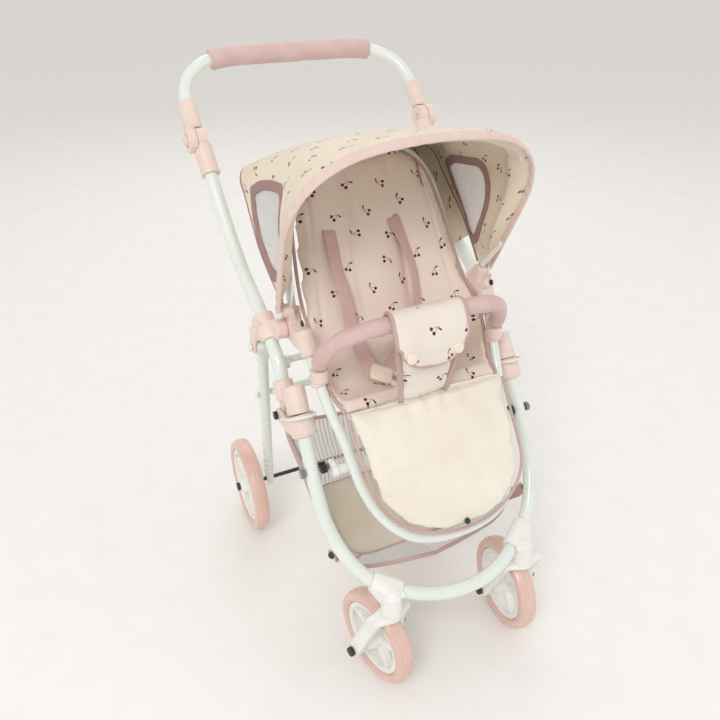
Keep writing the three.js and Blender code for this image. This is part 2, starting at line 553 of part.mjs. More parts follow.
// Caster parts stand turned about their swivel axes, each side by its own angle.
function addCasters(name, s, look) {
  const turned = (part, side, angle) => part.translate([-side * CASTER.x, -CASTER.y, 0])
    .rotate([0, 0, angle]).translate([side * CASTER.x, CASTER.y, 0]);
  add(`${name}_R`, turned(s, 1, STEER.R), look);
  add(`${name}_L`, turned(mirrored(s), -1, STEER.L), look);
}

add('front_tube', frontTube(), 'paint');
addPair('fold_lower', foldLower(), 'pink');
addPair('fold_bolt', foldBolt(), 'black');
addPair('caster_bracket', casterBracket(), 'white');
addPair('side_bolt', sideBolt(), 'steel');
addPair('torsion_spring', torsionSpring(), 'black');
add('cross_bar', crossBar(), 'white');
add('basket', basket(), 'fabric');

addCasters('fork', fork(), 'white');
addCasters('front_axle', frontAxle(), 'steel');
const frontWheel = [wheelAt.x, wheelAt.y, wheelAt.z];
addCasters('front_tyre', tyre(FRONT_WHEEL_R, 47, frontWheel), 'tyre');
addCasters('front_rim', rim(46.7, 20.5, 3.4, 5, frontWheel), 'white');

addPair('push_tube', pushTube(), 'paint');
addPair('fold_upper', foldUpper(), 'pink');
addPair('push_bracket', pushBracket(), 'pink');
add('upper_cross_bar', upperCrossBar(), 'paint');
addPair('knuckle_lower', knuckleLower(), 'pink');
add('handle_tube', handleTube(), 'paint');
add('handle_grip', handleGrip(), 'foam');
addPair('knuckle_upper', knuckleUpper(), 'pink');
addPair('knuckle_button', knuckleButton(), 'pink');

addPair('rear_leg', rearLeg(), 'paint');
add('leg_cross_bar', legCrossBar(), 'paint');
add('rear_axle', rearAxle(), 'steel');
const rearWheel = [REAR_AXLE.wheelX, REAR_AXLE.y, REAR_AXLE.z];
addPair('rear_tyre', tyre(REAR_WHEEL_R, 56, rearWheel), 'tyre');
addPair('rear_rim', rim(55.7, 15, 3.4, 5, rearWheel), 'white');

addPair('seat_hub', seatHub(), 'pink');
add('seat_leg_tube', seatLegTube(), 'paint');
add('seat_back_tube', seatBackTube(), 'paint');
add('seat_liner', seatLiner(), 'fabric');
add('foot_panel', footPanel(), 'cream');
add('bumper_bar', bumperBar(), 'foam');
addPair('bumper_socket', bumperSocket(), 'pink');
add('crotch_panel', crotchPanel(), 'fabric');
add('canopy_rear', canopyShell(REAR_EDGE, 99, [-10.5, -2.2], [-8, 0.3], 6), 'fabric');
add('canopy_front', canopyShell(100, 115, [0, 0], [2, 2], 3), 'fabric');
add('canopy_bow', canopyBow(), 'white');
addPair('lock_wire', lockWire(), 'paint');

export default root;
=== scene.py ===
"""Doll stroller: smooth tubes, wheels, fabrics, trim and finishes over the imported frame.
Metres in Blender; the tables below are in millimetres, +Z up, front towards -Y."""
import math

import bmesh
import bpy
import numpy as np
from mathutils import Matrix, Vector, noise


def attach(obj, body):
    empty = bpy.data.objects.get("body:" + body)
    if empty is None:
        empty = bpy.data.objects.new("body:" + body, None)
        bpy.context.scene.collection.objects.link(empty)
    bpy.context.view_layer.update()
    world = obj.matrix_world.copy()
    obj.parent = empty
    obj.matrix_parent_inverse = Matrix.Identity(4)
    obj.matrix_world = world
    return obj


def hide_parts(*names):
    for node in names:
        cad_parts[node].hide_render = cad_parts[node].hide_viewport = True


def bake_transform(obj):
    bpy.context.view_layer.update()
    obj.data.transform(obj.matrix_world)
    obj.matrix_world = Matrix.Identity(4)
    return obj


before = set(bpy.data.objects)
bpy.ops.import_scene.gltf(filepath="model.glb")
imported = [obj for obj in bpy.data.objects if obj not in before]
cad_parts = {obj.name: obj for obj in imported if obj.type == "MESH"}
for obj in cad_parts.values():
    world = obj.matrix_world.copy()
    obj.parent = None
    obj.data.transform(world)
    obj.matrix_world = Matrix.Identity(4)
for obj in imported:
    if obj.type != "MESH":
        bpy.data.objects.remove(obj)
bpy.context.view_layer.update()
MM = 0.001

# ---- centre lines, right half, from the side to the middle ----
FRONT_HALF = [(138.5, -35, 322), (139, -54.7, 294), (140, -72.7, 265), (139.5, -85.5, 245),
              (138, -98, 226), (134.5, -109, 210.5), (129.5, -120, 196.5), (122, -131, 183),
              (113, -140.5, 171.5), (101.5, -149.5, 161), (86, -159, 152.5), (66.5, -170.5, 148),
              (45.5, -180, 145.5), (22.5, -185.8, 143.5), (0, -187.5, 143)]
PUSH = [(143, -1, 335), (143, 8, 349), (143, 14, 367), (143.5, 36, 386), (144, 54, 402),
        (145, 76, 416), (146, 98, 427), (147, 118, 439), (148.3, 138, 456), (150.5, 170, 490),
        (153, 205, 533), (154, 218, 549)]
HANDLE_HALF = [(158, 251, 584), (158.5, 264, 597), (158, 277, 609), (155, 288, 621),
               (149, 297, 631), (140, 305, 638.5), (128, 313, 644.5), (114, 320, 648.5),
               (96, 324, 651), (60, 325.5, 652), (0, 326, 652)]
LEG_LOOP_HALF = [(117.5, -9, 404), (115.5, -25, 378), (109.8, -52, 338), (103.5, -74, 311),
                 (100, -89, 288), (96, -103, 265), (90, -119, 247), (81, -134, 233.5),
                 (69, -147, 224), (55, -156, 217), (30, -162.5, 212), (0, -164.5, 211)]
BACK_LOOP_HALF = [(112, 46, 409), (111, 57, 431), (108, 70, 456), (104, 85, 486),
                  (98, 101, 518), (88, 113, 542), (70, 123, 560), (40, 129, 570), (0, 131, 573)]
BUMPER_HALF = [(113.5, -35.4, 388.2), (113, -38.8, 395), (111, -43.5, 404), (106, -49.5, 415),
               (97, -57, 425), (83, -65, 434), (63, -71.5, 440), (35, -75.5, 443), (0, -77, 444)]
LOCK_WIRE = [(155.4, -14, 314), (155.4, -26, 323), (154, -40, 330.5), (147, -49.5, 336),
             (138, -52, 337.5), (129, -49.5, 336), (122.8, -40, 330.5), (122.4, -26, 323),
             (122.4, -14, 314)]
CASTER = {"x": 90, "y": -171, "trail": 26, "steer": {"R": -3.6, "L": 12.4}}
REAR_AXLE = (159, 170, 70)
PIVOT = (24, 430)                     # y, z of the canopy's pivot line
FRONT_ARCH = [(137, 0), (140.5, 58), (142, 98), (142, 123), (138.6, 142), (132, 160),
              (121, 176), (106, 190.5), (86, 202), (67, 208), (46, 211.5), (21, 214), (0, 214.5)]
REAR_ARCH = [(127, 0), (133, 45), (135, 80), (134, 110), (133, 130), (132, 150), (131, 168),
             (124, 182), (104, 190), (80, 197), (53, 202), (25, 205), (0, 205.5)]
FRONT_BOW, REAR_EDGE = 113.0, 42.0    # degrees up from the rear
HOOD_BULGE = 0.15                     # 0 is cloth stretched straight, 1 is an arc about the pivot
CROTCH_SHIFT = 8                      # the crotch panel and its flap sit this far to the left


# ---- curves ----
def mirror_x(half):
    return [(-x, y, z) for x, y, z in half] + [tuple(p) for p in reversed(half[:-1])]


def resample(line, count):
    p = np.array([tuple(q) for q in line], float)
    d = np.r_[0, np.cumsum(np.linalg.norm(np.diff(p, axis=0), axis=1))]
    s = np.linspace(0, d[-1], count + 1)
    return [Vector([float(np.interp(t, d, p[:, k])) for k in range(p.shape[1])]) for t in s]


def smooth_line(points, count):
    """count + 1 evenly spaced points on a centripetal Catmull-Rom curve through points."""
    p = [Vector(q) for q in points]
    p = [p[0] * 2 - p[1]] + p + [p[-1] * 2 - p[-2]]
    fine = []
    for i in range(1, len(p) - 2):
        a, b, c, d = p[i - 1:i + 3]
        t1 = max((b - a).length, 1e-6) ** 0.5
        t2 = t1 + max((c - b).length, 1e-6) ** 0.5
        t3 = t2 + max((d - c).length, 1e-6) ** 0.5
        for k in range(14):
            t = t1 + (t2 - t1) * k / 14
            a1 = a.lerp(b, t / t1)
            a2 = b.lerp(c, (t - t1) / (t2 - t1))
            a3 = c.lerp(d, (t - t2) / (t3 - t2))
            b1 = a1.lerp(a2, t / t2)
            b2 = a2.lerp(a3, (t - t1) / (t3 - t1))
            fine.append(b1.lerp(b2, (t - t1) / (t2 - t1)))
    fine.append(p[-2])
    return resample(fine, count)


def tangents(line, closed=False):
    n = len(line)
    out = []
    for i in range(n):
        a = line[(i - 1) % n] if closed or i else line[0]
        b = line[(i + 1) % n] if closed or i < n - 1 else line[-1]
        out.append((b - a).normalized())
    return out


def smoothstep(a, b, x):
    t = min(1.0, max(0.0, (x - a) / (b - a)))
    return t * t * (3 - 2 * t)


# ---- meshes ----
def new_object(name, verts, faces, uvs=None, smooth=True):
    """An object from points in mm; uvs is one (u, v) in metres for each point."""
    mesh = bpy.data.meshes.new(name)
    mesh.from_pydata([tuple(c * MM for c in v) for v in verts], [], faces)
    mesh.update()
    if uvs is not None:
        layer = mesh.uv_layers.new(name="UVMap")
        index = np.empty(len(mesh.loops), int)
        mesh.loops.foreach_get("vertex_index", index)
        layer.data.foreach_set("uv", np.array(uvs, np.float32)[index].ravel())
    bm = bmesh.new()
    bm.from_mesh(mesh)
    bmesh.ops.recalc_face_normals(bm, faces=bm.faces)
    bm.to_mesh(mesh)
    bm.free()
    mesh.polygons.foreach_set("use_smooth", [smooth] * len(mesh.polygons))
    obj = bpy.data.objects.new(name, mesh)
    bpy.context.scene.collection.objects.link(obj)
    return obj


def modifier(obj, kind, **settings):
    m = obj.modifiers.new(kind.lower(), kind)
    for key, value in settings.items():
        setattr(m, key, value)
    return m


def apply_modifiers(obj):
    graph = bpy.context.evaluated_depsgraph_get()
    mesh = bpy.data.meshes.new_from_object(obj.evaluated_get(graph))
    obj.modifiers.clear()
    old, obj.data = obj.data, mesh
    bpy.data.meshes.remove(old)


def section_sweep(name, line, section, normals=None, closed=False, cap=True):
    """Sweeps section(share) -> [(side, out)] along line. side runs across the normal."""
    tang = tangents(line, closed)
    rows, uvs, length = [], [], 0.0
    up = None
    for i, (p, t) in enumerate(zip(line, tang)):
        if i:
            length += (p - line[i - 1]).length
        if normals is not None:
            n = normals[i] - t * normals[i].dot(t)
        else:
            if up is None:
                up = Vector((1, 0, 0)).cross(t)
                if up.length < 0.2:
                    up = Vector((0, 0, 1))
            up = (up - t * up.dot(t)).normalized()
            n = up
        n = n.normalized()
        s = t.cross(n)
        ring = section(i / (len(line) - 1))
        rows.append([p + s * a + n * b for a, b in ring])
        girth = 0.0
        marks = []
        for k, (a, b) in enumerate(ring):
            if k:
                girth += math.hypot(a - ring[k - 1][0], b - ring[k - 1][1])
            marks.append((girth * MM, length * MM))
        uvs.append(marks)
    n = len(rows[0])
    verts = [v for row in rows for v in row]
    uv = [m for row in uvs for m in row]
    faces = []
    total = len(rows)
    for r in range(total if closed else total - 1):
        q = (r + 1) % total
        for k in range(n):
            faces.append((r * n + k, r * n + (k + 1) % n, q * n + (k + 1) % n, q * n + k))
    if cap and not closed:
        faces.append(tuple(range(n)))
        faces.append(tuple((total - 1) * n + k for k in reversed(range(n))))
    return new_object(name, verts, faces, uv)


def tube(name, line, radius, sides=24, ends=0.0, closed=False):
    """A round bar. ends rounds both ends off over that many mm."""
    total = sum((b - a).length for a, b in zip(line, line[1:]))

    def ring(share):
        r = radius(share) if callable(radius) else radius
        if ends:
            d = min(share, 1 - share) * total / ends
            if d < 1:
                r *= math.sqrt(max(0.02, 1 - (1 - d) ** 2)) * 0.5 + 0.5
        return [(r * math.cos(2 * math.pi * k / sides), r * math.sin(2 * math.pi * k / sides))
                for k in range(sides)]
    return section_sweep(name, line, ring, closed=closed)


def tape(name, line, normals, width, thick):
    """A flat woven tape with rounded edges; its face looks along the normals."""
    def ring(share):
        w, t = width / 2, thick / 2
        e = min(t, 0.6)
        return [(-w, -t + e), (-w + e, -t), (-w * 0.5, -t), (0, -t), (w * 0.5, -t), (w - e, -t),
                (w, -t + e), (w, t - e), (w - e, t), (w * 0.5, t), (0, t), (-w * 0.5, t),
                (-w + e, t), (-w, t - e)]
    return section_sweep(name, line, ring, normals=normals)


def grid(name, rows, uvs=None, thick=0.0, levels=1, keep=None):
    """A sheet through rows of points; keep(r, c) leaves faces out where it is false."""
    n = len(rows[0])
    if uvs is None:
        mid = n // 2
        uvs, v = [], 0.0
        for r, row in enumerate(rows):
            if r:
                v += (row[mid] - rows[r - 1][mid]).length
            u, marks = 0.0, [0.0]
            for a, b in zip(row, row[1:]):
                u += (b - a).length
                marks.append(u)
            uvs.append([((m - marks[mid]) * MM, v * MM) for m in marks])
    verts = [p for row in rows for p in row]
    flat = [m for row in uvs for m in row]
    faces = [(r * n + c, r * n + c + 1, (r + 1) * n + c + 1, (r + 1) * n + c)
             for r in range(len(rows) - 1) for c in range(n - 1) if keep is None or keep(r, c)]
    obj = new_object(name, verts, faces, flat)
    bm = bmesh.new()
    bm.from_mesh(obj.data)
    bmesh.ops.delete(bm, geom=[v for v in bm.verts if not v.link_faces], context="VERTS")
    bm.to_mesh(obj.data)
    bm.free()
    if levels:
        modifier(obj, "SUBSURF", levels=levels, render_levels=levels)
    if thick:
        modifier(obj, "SOLIDIFY", thickness=thick * MM, offset=0.0)
    return obj


def closed_pad(name, rows, front, back):
    """A closed pad: front(r, c) and back(r, c) are heights in mm off the middle surface."""
    R, C = len(rows), len(rows[0])
    normal = []
    for r in range(R):
        line = []
        for c in range(C):
            a = rows[min(r + 1, R - 1)][c] - rows[max(r - 1, 0)][c]
            b = rows[r][min(c + 1, C - 1)] - rows[r][max(c - 1, 0)]
            line.append(a.cross(b).normalized())
        normal.append(line)
    top = [[rows[r][c] + normal[r][c] * front(r, c) for c in range(C)] for r in range(R)]
    low = [[rows[r][c] - normal[r][c] * back(r, c) for c in range(C)] for r in range(R)]
    verts = [p for row in top for p in row] + [p for row in low for p in row]
    n = R * C
    at = lambda r, c, k=0: k * n + r * C + c
    faces = []
    for r in range(R - 1):
        for c in range(C - 1):
            faces.append((at(r, c), at(r, c + 1), at(r + 1, c + 1), at(r + 1, c)))
            faces.append((at(r, c, 1), at(r + 1, c, 1), at(r + 1, c + 1, 1), at(r, c + 1, 1)))
    edge = [(0, c) for c in range(C)] + [(r, C - 1) for r in range(1, R)]
    edge += [(R - 1, c) for c in range(C - 2, -1, -1)] + [(r, 0) for r in range(R - 2, 0, -1)]
    for a, b in zip(edge, edge[1:] + edge[:1]):
        faces.append((at(*a), at(*a, 1), at(*b, 1), at(*b)))
    return new_object(name, verts, faces)


def set_uv(obj, function):
    """UVs in metres from each point at rest: function(x, y, z in mm) -> (u, v) in mm."""
    mesh = obj.data
    layer = mesh.uv_layers.get("UVMap") or mesh.uv_layers.new(name="UVMap")
    flat = [tuple(k * MM for k in function(*(v.co / MM))) for v in mesh.vertices]
    index = np.empty(len(mesh.loops), int)
    mesh.loops.foreach_get("vertex_index", index)
    layer.data.foreach_set("uv", np.array(flat, np.float32)[index].ravel())


def displace(obj, function):
    """Moves each point along its normal by function(x, y, z, normal) mm."""
    mesh = obj.data
    moved = [v.co + v.normal * (function(*(v.co / MM), v.normal) * MM) for v in mesh.vertices]
    for v, p in zip(mesh.vertices, moved):
        v.co = p
    mesh.update()


def puff(obj, voxel, cap, pressure=4.0):
    """Swells a closed pad with cloth under pressure; no point moves more than cap mm."""
    modifier(obj, "REMESH", mode="VOXEL", voxel_size=voxel * MM, use_smooth_shade=True)
    apply_modifiers(obj)
    rest = np.array([v.co for v in obj.data.vertices])
    cloth = modifier(obj, "CLOTH")
    s = cloth.settings
    s.quality = 4
    s.mass = 0.2
    s.tension_stiffness = s.compression_stiffness = 12
    s.bending_stiffness = 0.6
    s.use_pressure = True
    s.uniform_pressure_force = pressure
    s.effector_weights.gravity = 0
    cloth.collision_settings.use_collision = False
    scene = bpy.context.scene
    for f in range(1, 21):
        scene.frame_set(f)
    graph = bpy.context.evaluated_depsgraph_get()
    baked = obj.evaluated_get(graph).to_mesh()
    moved = np.array([v.co for v in baked.vertices])
    obj.modifiers.clear()
    step = moved - rest
    size = np.linalg.norm(step, axis=1, keepdims=True)
    step *= np.minimum(1, cap * MM / np.maximum(size, 1e-9))
    obj.data.vertices.foreach_set("co", (rest + step).astype(np.float32).ravel())
    obj.data.update()
    scene.frame_set(1)
    modifier(obj, "SUBSURF", levels=1, render_levels=1)
    apply_modifiers(obj)
    obj.data.polygons.foreach_set("use_smooth", [True] * len(obj.data.polygons))


# ---- materials ----
class Net:
    """A small builder for one material's node tree."""

    def __init__(self, name, rough=0.5, metal=0.0):
        self.mat = bpy.data.materials.new(name)
        self.mat.use_nodes = True
        self.tree = self.mat.node_tree
        self.shader = self.tree.nodes["Principled BSDF"]
        self.shader.inputs["Roughness"].default_value = rough
        self.shader.inputs["Metallic"].default_value = metal

    def node(self, kind, **props):
        n = self.tree.nodes.new(kind)
        for key, value in props.items():
            setattr(n, key, value)
        return n

    def put(self, socket, value):
        if isinstance(value, bpy.types.NodeSocket):
            self.tree.links.new(value, socket)
        elif value is not None:
            socket.default_value = value

    def math(self, op, a, b=None, c=None):
        n = self.node("ShaderNodeMath", operation=op)
        for socket, value in zip(n.inputs, (a, b, c)):
            self.put(socket, value)
        return n.outputs[0]

    def vector(self, op, a, b=None, scale=None):
        n = self.node("ShaderNodeVectorMath", operation=op)
        self.put(n.inputs[0], a)
        if b is not None:
            self.put(n.inputs[1], b)
        if scale is not None:
            self.put(n.inputs["Scale"], scale)
        return n.outputs["Value"] if op in ("LENGTH", "DOT_PRODUCT", "DISTANCE") else n.outputs[0]

    def mix(self, share, a, b):
        n = self.node("ShaderNodeMix", data_type="RGBA")
        self.put(n.inputs[0], share)
        self.put(n.inputs[6], a)
        self.put(n.inputs[7], b)
        return n.outputs[2]

    def ramp(self, value, low, high, a=0.0, b=1.0):
        n = self.node("ShaderNodeMapRange", interpolation_type="SMOOTHSTEP")
        for socket, v in zip(n.inputs, (value, low, high, a, b)):
            self.put(socket, v)
        return n.outputs[0]

    def noise(self, scale, detail=3.0, where=None, rough=0.5):
        n = self.node("ShaderNodeTexNoise")
        self.put(n.inputs["Scale"], scale)
        self.put(n.inputs["Detail"], detail)
        self.put(n.inputs["Roughness"], rough)
        self.put(n.inputs["Vector"], where or self.place())
        return n.outputs["Fac"]

    def place(self):
        if not hasattr(self, "_place"):
            self._place = self.node("ShaderNodeTexCoord").outputs["Object"]
        return self._place

    def uv(self):
        if not hasattr(self, "_uv"):
            self._uv = self.node("ShaderNodeTexCoord").outputs["UV"]
        return self._uv

    def split(self, v):
        n = self.node("ShaderNodeSeparateXYZ")
        self.put(n.inputs[0], v)
        return n.outputs

    def join(self, x, y, z=0.0):
        n = self.node("ShaderNodeCombineXYZ")
        for socket, value in zip(n.inputs, (x, y, z)):
            self.put(socket, value)
        return n.outputs[0]

    def bump(self, height, distance_mm, strength=1.0):
        n = self.node("ShaderNodeBump")
        self.put(n.inputs["Height"], height)
        self.put(n.inputs["Distance"], distance_mm * MM)
        self.put(n.inputs["Strength"], strength)
        self.put(self.shader.inputs["Normal"], n.outputs[0])
        return n

    def color(self, value):
        self.put(self.shader.inputs["Base Color"], value)

    def rough(self, value):
        self.put(self.shader.inputs["Roughness"], value)

    def set(self, **values):
        for key, value in values.items():
            self.shader.inputs[key.replace("_", " ")].default_value = value


def rgb(code):
    """A linear colour from an sRGB hex code."""
    c = [int(code[i:i + 2], 16) / 255 for i in (0, 2, 4)]
    return tuple(v / 12.92 if v <= 0.04045 else ((v + 0.055) / 1.055) ** 2.4 for v in c) + (1.0,)


def moulded(name, code, dark, rough, bump=0.03, coat=0.0, sub=0.0):
    """Moulded plastic or paint: slight mottle, fine surface grain, uneven gloss."""
    m = Net(name, rough)
    patch = m.noise(22, 4)
    m.color(m.mix(m.ramp(patch, 0.3, 0.75), rgb(code), rgb(dark)))
    m.rough(m.ramp(m.noise(90, 3), 0.3, 0.7, rough - 0.05, rough + 0.08))
    m.bump(m.math("ADD", m.noise(900, 2), m.math("MULTIPLY", m.noise(60, 2), 1.5)), bump)
    m.set(Coat_Weight=coat, Coat_Roughness=0.12, Subsurface_Weight=sub, Subsurface_Scale=0.002)
    return m.mat


def metal(name, code, rough):
    m = Net(name, rough, 0.9)
    m.color(m.mix(m.noise(300, 4), rgb(code), rgb("5c5c5e")))
    m.rough(m.ramp(m.noise(160, 4), 0.3, 0.7, rough - 0.08, rough + 0.12))
    m.bump(m.noise(1200, 2), 0.02)
    return m.mat


def foam(name, code, dark):
    """Closed-cell foam sleeve: matt, with tiny pores."""
    m = Net(name, 0.82)
    cell = m.node("ShaderNodeTexVoronoi", feature="F1")
    m.put(cell.inputs["Vector"], m.place())
    m.put(cell.inputs["Scale"], 900.0)
    m.color(m.mix(m.ramp(m.noise(35, 4), 0.3, 0.7), rgb(code), rgb(dark)))
    m.bump(m.math("ADD", cell.outputs["Distance"], m.math("MULTIPLY", m.noise(120, 3), 0.8)), 0.25, 0.6)
    m.set(Sheen_Weight=0.35, Sheen_Roughness=0.4)
    return m.mat


def weave(m, pitch, where=None):
    """Height of a plain weave of that thread pitch in mm, 0 to 1, from the UVs."""
    x, y, _ = m.split(m.vector("SCALE", where or m.uv(), scale=math.pi / (pitch * MM)))
    sx, sy = m.math("SINE", x), m.math("SINE", y)
    over = m.math("MULTIPLY", m.math("COSINE", m.math("MULTIPLY", x, 0.5)),
                  m.math("COSINE", m.math("MULTIPLY", y, 0.5)))
    a = m.math("ABSOLUTE", m.math("ADD", m.math("MULTIPLY", sx, 0.5), m.math("MULTIPLY", sy, 0.5)))
    return m.math("ADD", a, m.math("MULTIPLY", m.math("ABSOLUTE", over), 0.4))


def cherry_print(m, ground):
    """Scattered cherry pairs, each with stems and a leaf, printed on the ground colour."""
    cell_w, cell_h = 43.0, 30.0
    u, v, _ = m.split(m.vector("SCALE", m.uv(), scale=1 / MM))
    row = m.math("FLOOR", m.math("DIVIDE", v, cell_h))
    shift = m.math("MULTIPLY", m.math("MODULO", m.math("ABSOLUTE", row), 2.0), 0.5)
    cu = m.math("ADD", m.math("DIVIDE", u, cell_w), shift)
    col = m.math("FLOOR", cu)
    rnd = m.node("ShaderNodeTexWhiteNoise", noise_dimensions="3D")
    m.put(rnd.inputs["Vector"], m.join(col, row, 3.7))
    r1, r2, r3 = m.split(rnd.outputs["Color"])
    lx = m.math("MULTIPLY", m.math("SUBTRACT", m.math("SUBTRACT", cu, col), 0.5), cell_w)
    ly = m.math("SUBTRACT", m.math("SUBTRACT", m.math("DIVIDE", v, cell_h), row), 0.5)
    ly = m.math("MULTIPLY", ly, cell_h)
    lx = m.math("ADD", lx, m.math("MULTIPLY", m.math("SUBTRACT", r1, 0.5), 14.0))
    ly = m.math("ADD", ly, m.math("MULTIPLY", m.math("SUBTRACT", r2, 0.5), 9.0))
    turn = m.node("ShaderNodeVectorRotate", rotation_type="Z_AXIS")
    m.put(turn.inputs["Vector"], m.join(lx, ly))
    m.put(turn.inputs["Angle"], m.math("MULTIPLY", m.math("SUBTRACT", r3, 0.5), 3.4))
    p = m.vector("SCALE", turn.outputs[0], scale=0.8)

    def near(x, y, radius, soft=0.25):
        d = m.vector("DISTANCE", p, (x, y, 0.0))
        return m.ramp(d, radius + soft, radius - soft)

    def stroke(ax, ay, bx, by, half):
        ba = Vector((bx - ax, by - ay, 0))
        pa = m.vector("SUBTRACT", p, (ax, ay, 0.0))
        h = m.math("DIVIDE", m.vector("DOT_PRODUCT", pa, tuple(ba)), ba.length_squared)
        h = m.math("MAXIMUM", m.math("MINIMUM", h, 1.0), 0.0)
        d = m.vector("LENGTH", m.vector("SUBTRACT", pa, m.vector("SCALE", tuple(ba), scale=h)))
        return m.ramp(d, half + 0.16, half - 0.12)

    def leaf(x, y, length, width, angle):
        q = m.vector("SUBTRACT", p, (x, y, 0.0))
        r = m.node("ShaderNodeVectorRotate", rotation_type="Z_AXIS")
        m.put(r.inputs["Vector"], q)
        m.put(r.inputs["Angle"], angle)
        d = m.vector("LENGTH", m.vector("MULTIPLY", r.outputs[0], (1 / length, 1 / width, 0.0)))
        return m.ramp(d, 1.12, 0.88)

    stems = m.math("MAXIMUM", stroke(-1.9, -1.6, 0.7, 4.2, 0.16), stroke(2.0, -1.8, 0.7, 4.2, 0.16))
    c = m.mix(stems, ground, rgb("5b4a42"))
    c = m.mix(leaf(3.0, 4.3, 1.9, 0.75, -0.35), c, rgb("2c3233"))
    c = m.mix(near(-1.9, -2.2, 1.55), c, rgb("8a1f2c"))
    return m.mix(near(2.0, -2.4, 1.45), c, rgb("3b161b"))


def fabric(name, code, dark, printed=False, pitch=0.55, bump=0.10, sheen=0.25, wrinkle=0.5):
    """Woven cloth: thread relief, soft colour drift, optional cherry print."""
    m = Net(name, 0.82)
    drift = m.ramp(m.noise(14, 5), 0.25, 0.8)
    slub = m.noise(700, 2, m.vector("MULTIPLY", m.place(), (1.0, 0.25, 0.25)))
    ground = m.mix(drift, rgb(code), rgb(dark))
    ground = m.mix(m.ramp(slub, 0.35, 0.85, 0.0, 0.35), ground, rgb(dark))
    m.color(cherry_print(m, ground) if printed else ground)
    height = m.math("ADD", weave(m, pitch), m.math("MULTIPLY", m.noise(55, 4), 4.0 * wrinkle))
    m.bump(height, bump, 0.8)
    m.set(Sheen_Weight=sheen, Sheen_Roughness=0.45, Specular_IOR_Level=0.3)
    return m.mat


def webbing(name, code, dark, pitch=1.1):
    """Narrow twill tape: slanting ribs along its length, with painted shade in the grooves between the ribs
    and a painted highlight on their crests.
    """
    m = Net(name, 0.78)
    u, v, _ = m.split(m.vector("SCALE", m.uv(), scale=2 * math.pi / (pitch * MM)))
    rib = m.math("SINE", m.math("ADD", v, m.math("ABSOLUTE", m.math("SINE", m.math("MULTIPLY", u, 0.5)))))
    cross = m.math("SINE", m.math("MULTIPLY", u, 1.7))
    h = m.math("ADD", rib, m.math("MULTIPLY", cross, 0.4))
    # colour follows the rib relief: painted shade in the grooves, painted highlight on the crests
    m.color(m.mix(m.ramp(h, -0.9, 1.0), rgb(dark), rgb(code)))
    m.bump(h, 0.16, 0.8)
    m.set(Sheen_Weight=0.3, Sheen_Roughness=0.4, Specular_IOR_Level=0.3)
    return m.mat


def netting(name, code, pitch, hole, soft=0.25):
    """Knitted mesh: threads round a hexagonal lattice of open holes."""
    m = Net(name, 0.7)
    k = 2 * math.pi / (pitch * MM)
    u, v, _ = m.split(m.uv())
    a = m.math("COSINE", m.math("MULTIPLY", u, k))
    half = m.math("MULTIPLY", u, k * 0.5)
    tall = m.math("MULTIPLY", v, k * 0.866)
    b = m.math("COSINE", m.math("ADD", half, tall))
    c = m.math("COSINE", m.math("SUBTRACT", half, tall))
    h = m.math("ADD", m.math("ADD", a, b), c)          # 3 in a hole's middle, -1.5 between
    open_ = m.ramp(h, hole - soft, hole + soft)
    m.color(m.mix(m.noise(200, 3), rgb(code), rgb("d9d6d2")))
    m.bump(m.math("MULTIPLY", h, -1.0), 0.25, 0.7)
    clear = m.node("ShaderNodeBsdfTransparent")
    both = m.node("ShaderNodeMixShader")
    m.put(both.inputs[0], open_)
    m.put(both.inputs[1], m.shader.outputs[0])
    m.put(both.inputs[2], clear.outputs[0])
    m.put(m.tree.nodes["Material Output"].inputs["Surface"], both.outputs[0])
    return m.mat


def dotted(name, code, dark):
    """Window border: a dark knitted band with light dots."""
    m = Net(name, 0.8)
    k = 2 * math.pi / (2.6 * MM)
    u, v, _ = m.split(m.uv())
    across, along = (m.math("COSINE", m.math("MULTIPLY", w, k)) for w in (u, v))
    h = m.math("MULTIPLY", across, along)
    m.color(m.mix(m.ramp(h, 0.25, 0.75), rgb(dark), rgb(code)))
    m.bump(h, 0.2, 0.7)
    return m.mat


PAINT = moulded("frame_paint", "e3e9e2", "dde4dc", 0.24, 0.008, coat=0.6)
PINK = moulded("pink_plastic", "e8d5ca", "e2cbbf", 0.36, 0.02, coat=0.15, sub=0.08)
WHITE = moulded("white_plastic", "efeeea", "e6e5e0", 0.4, 0.03, sub=0.06)
CREAM_PLASTIC = moulded("cream_plastic", "f0e3d4", "e6d6c4", 0.32, 0.02, coat=0.2, sub=0.08)
TYRE = moulded("tyre", "e2c0b3", "dab5a7", 0.3, 0.02, coat=0.3, sub=0.05)
BLACK = metal("black_steel", "2e2e30", 0.42)
STEEL = metal("bright_steel", "b4b4b2", 0.28)
FOAM = foam("foam", "d8bcb7", "ceb0ab")
PRINT = fabric("print_fabric", "eee0d4", "e6d5c7", printed=True)
PRINT_HOOD = fabric("hood_fabric", "e6dac6", "dccdb6", printed=True)
PRINT_FLAP = fabric("flap_fabric", "ece3da", "e2d7cc", printed=True)
PLAIN = fabric("cream_fabric", "efe8db", "e6dccb")
FLOOR_CLOTH = fabric("basket_fabric", "e3dccd", "d6cbb9")
BINDING = fabric("binding", "cdb0aa", "bd9d97", pitch=0.45, bump=0.12)
BINDING_DARK = fabric("binding_dark", "a9857e", "97736c", pitch=0.45, bump=0.12)
HEM = fabric("hem", "e4cdc3", "d8bfb4", pitch=0.5, bump=0.12)
STRAP = webbing("webbing", "e3c1bf", "d2abaa")
NET_WHITE = netting("window_net", "f4f4f4", 1.9, 1.5)
NET_BASKET = netting("basket_net", "efeeec", 3.0, 0.55)
BORDER = dotted("window_border", "dcc6be", "8a6662")


def finish(obj, material, body, replaces=()):
    """Gives a piece its material and the body it rides on."""
    obj.data.materials.clear()
    obj.data.materials.append(material)
    if replaces:
        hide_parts(*replaces)
    if body:
        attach(obj, body)
    return obj


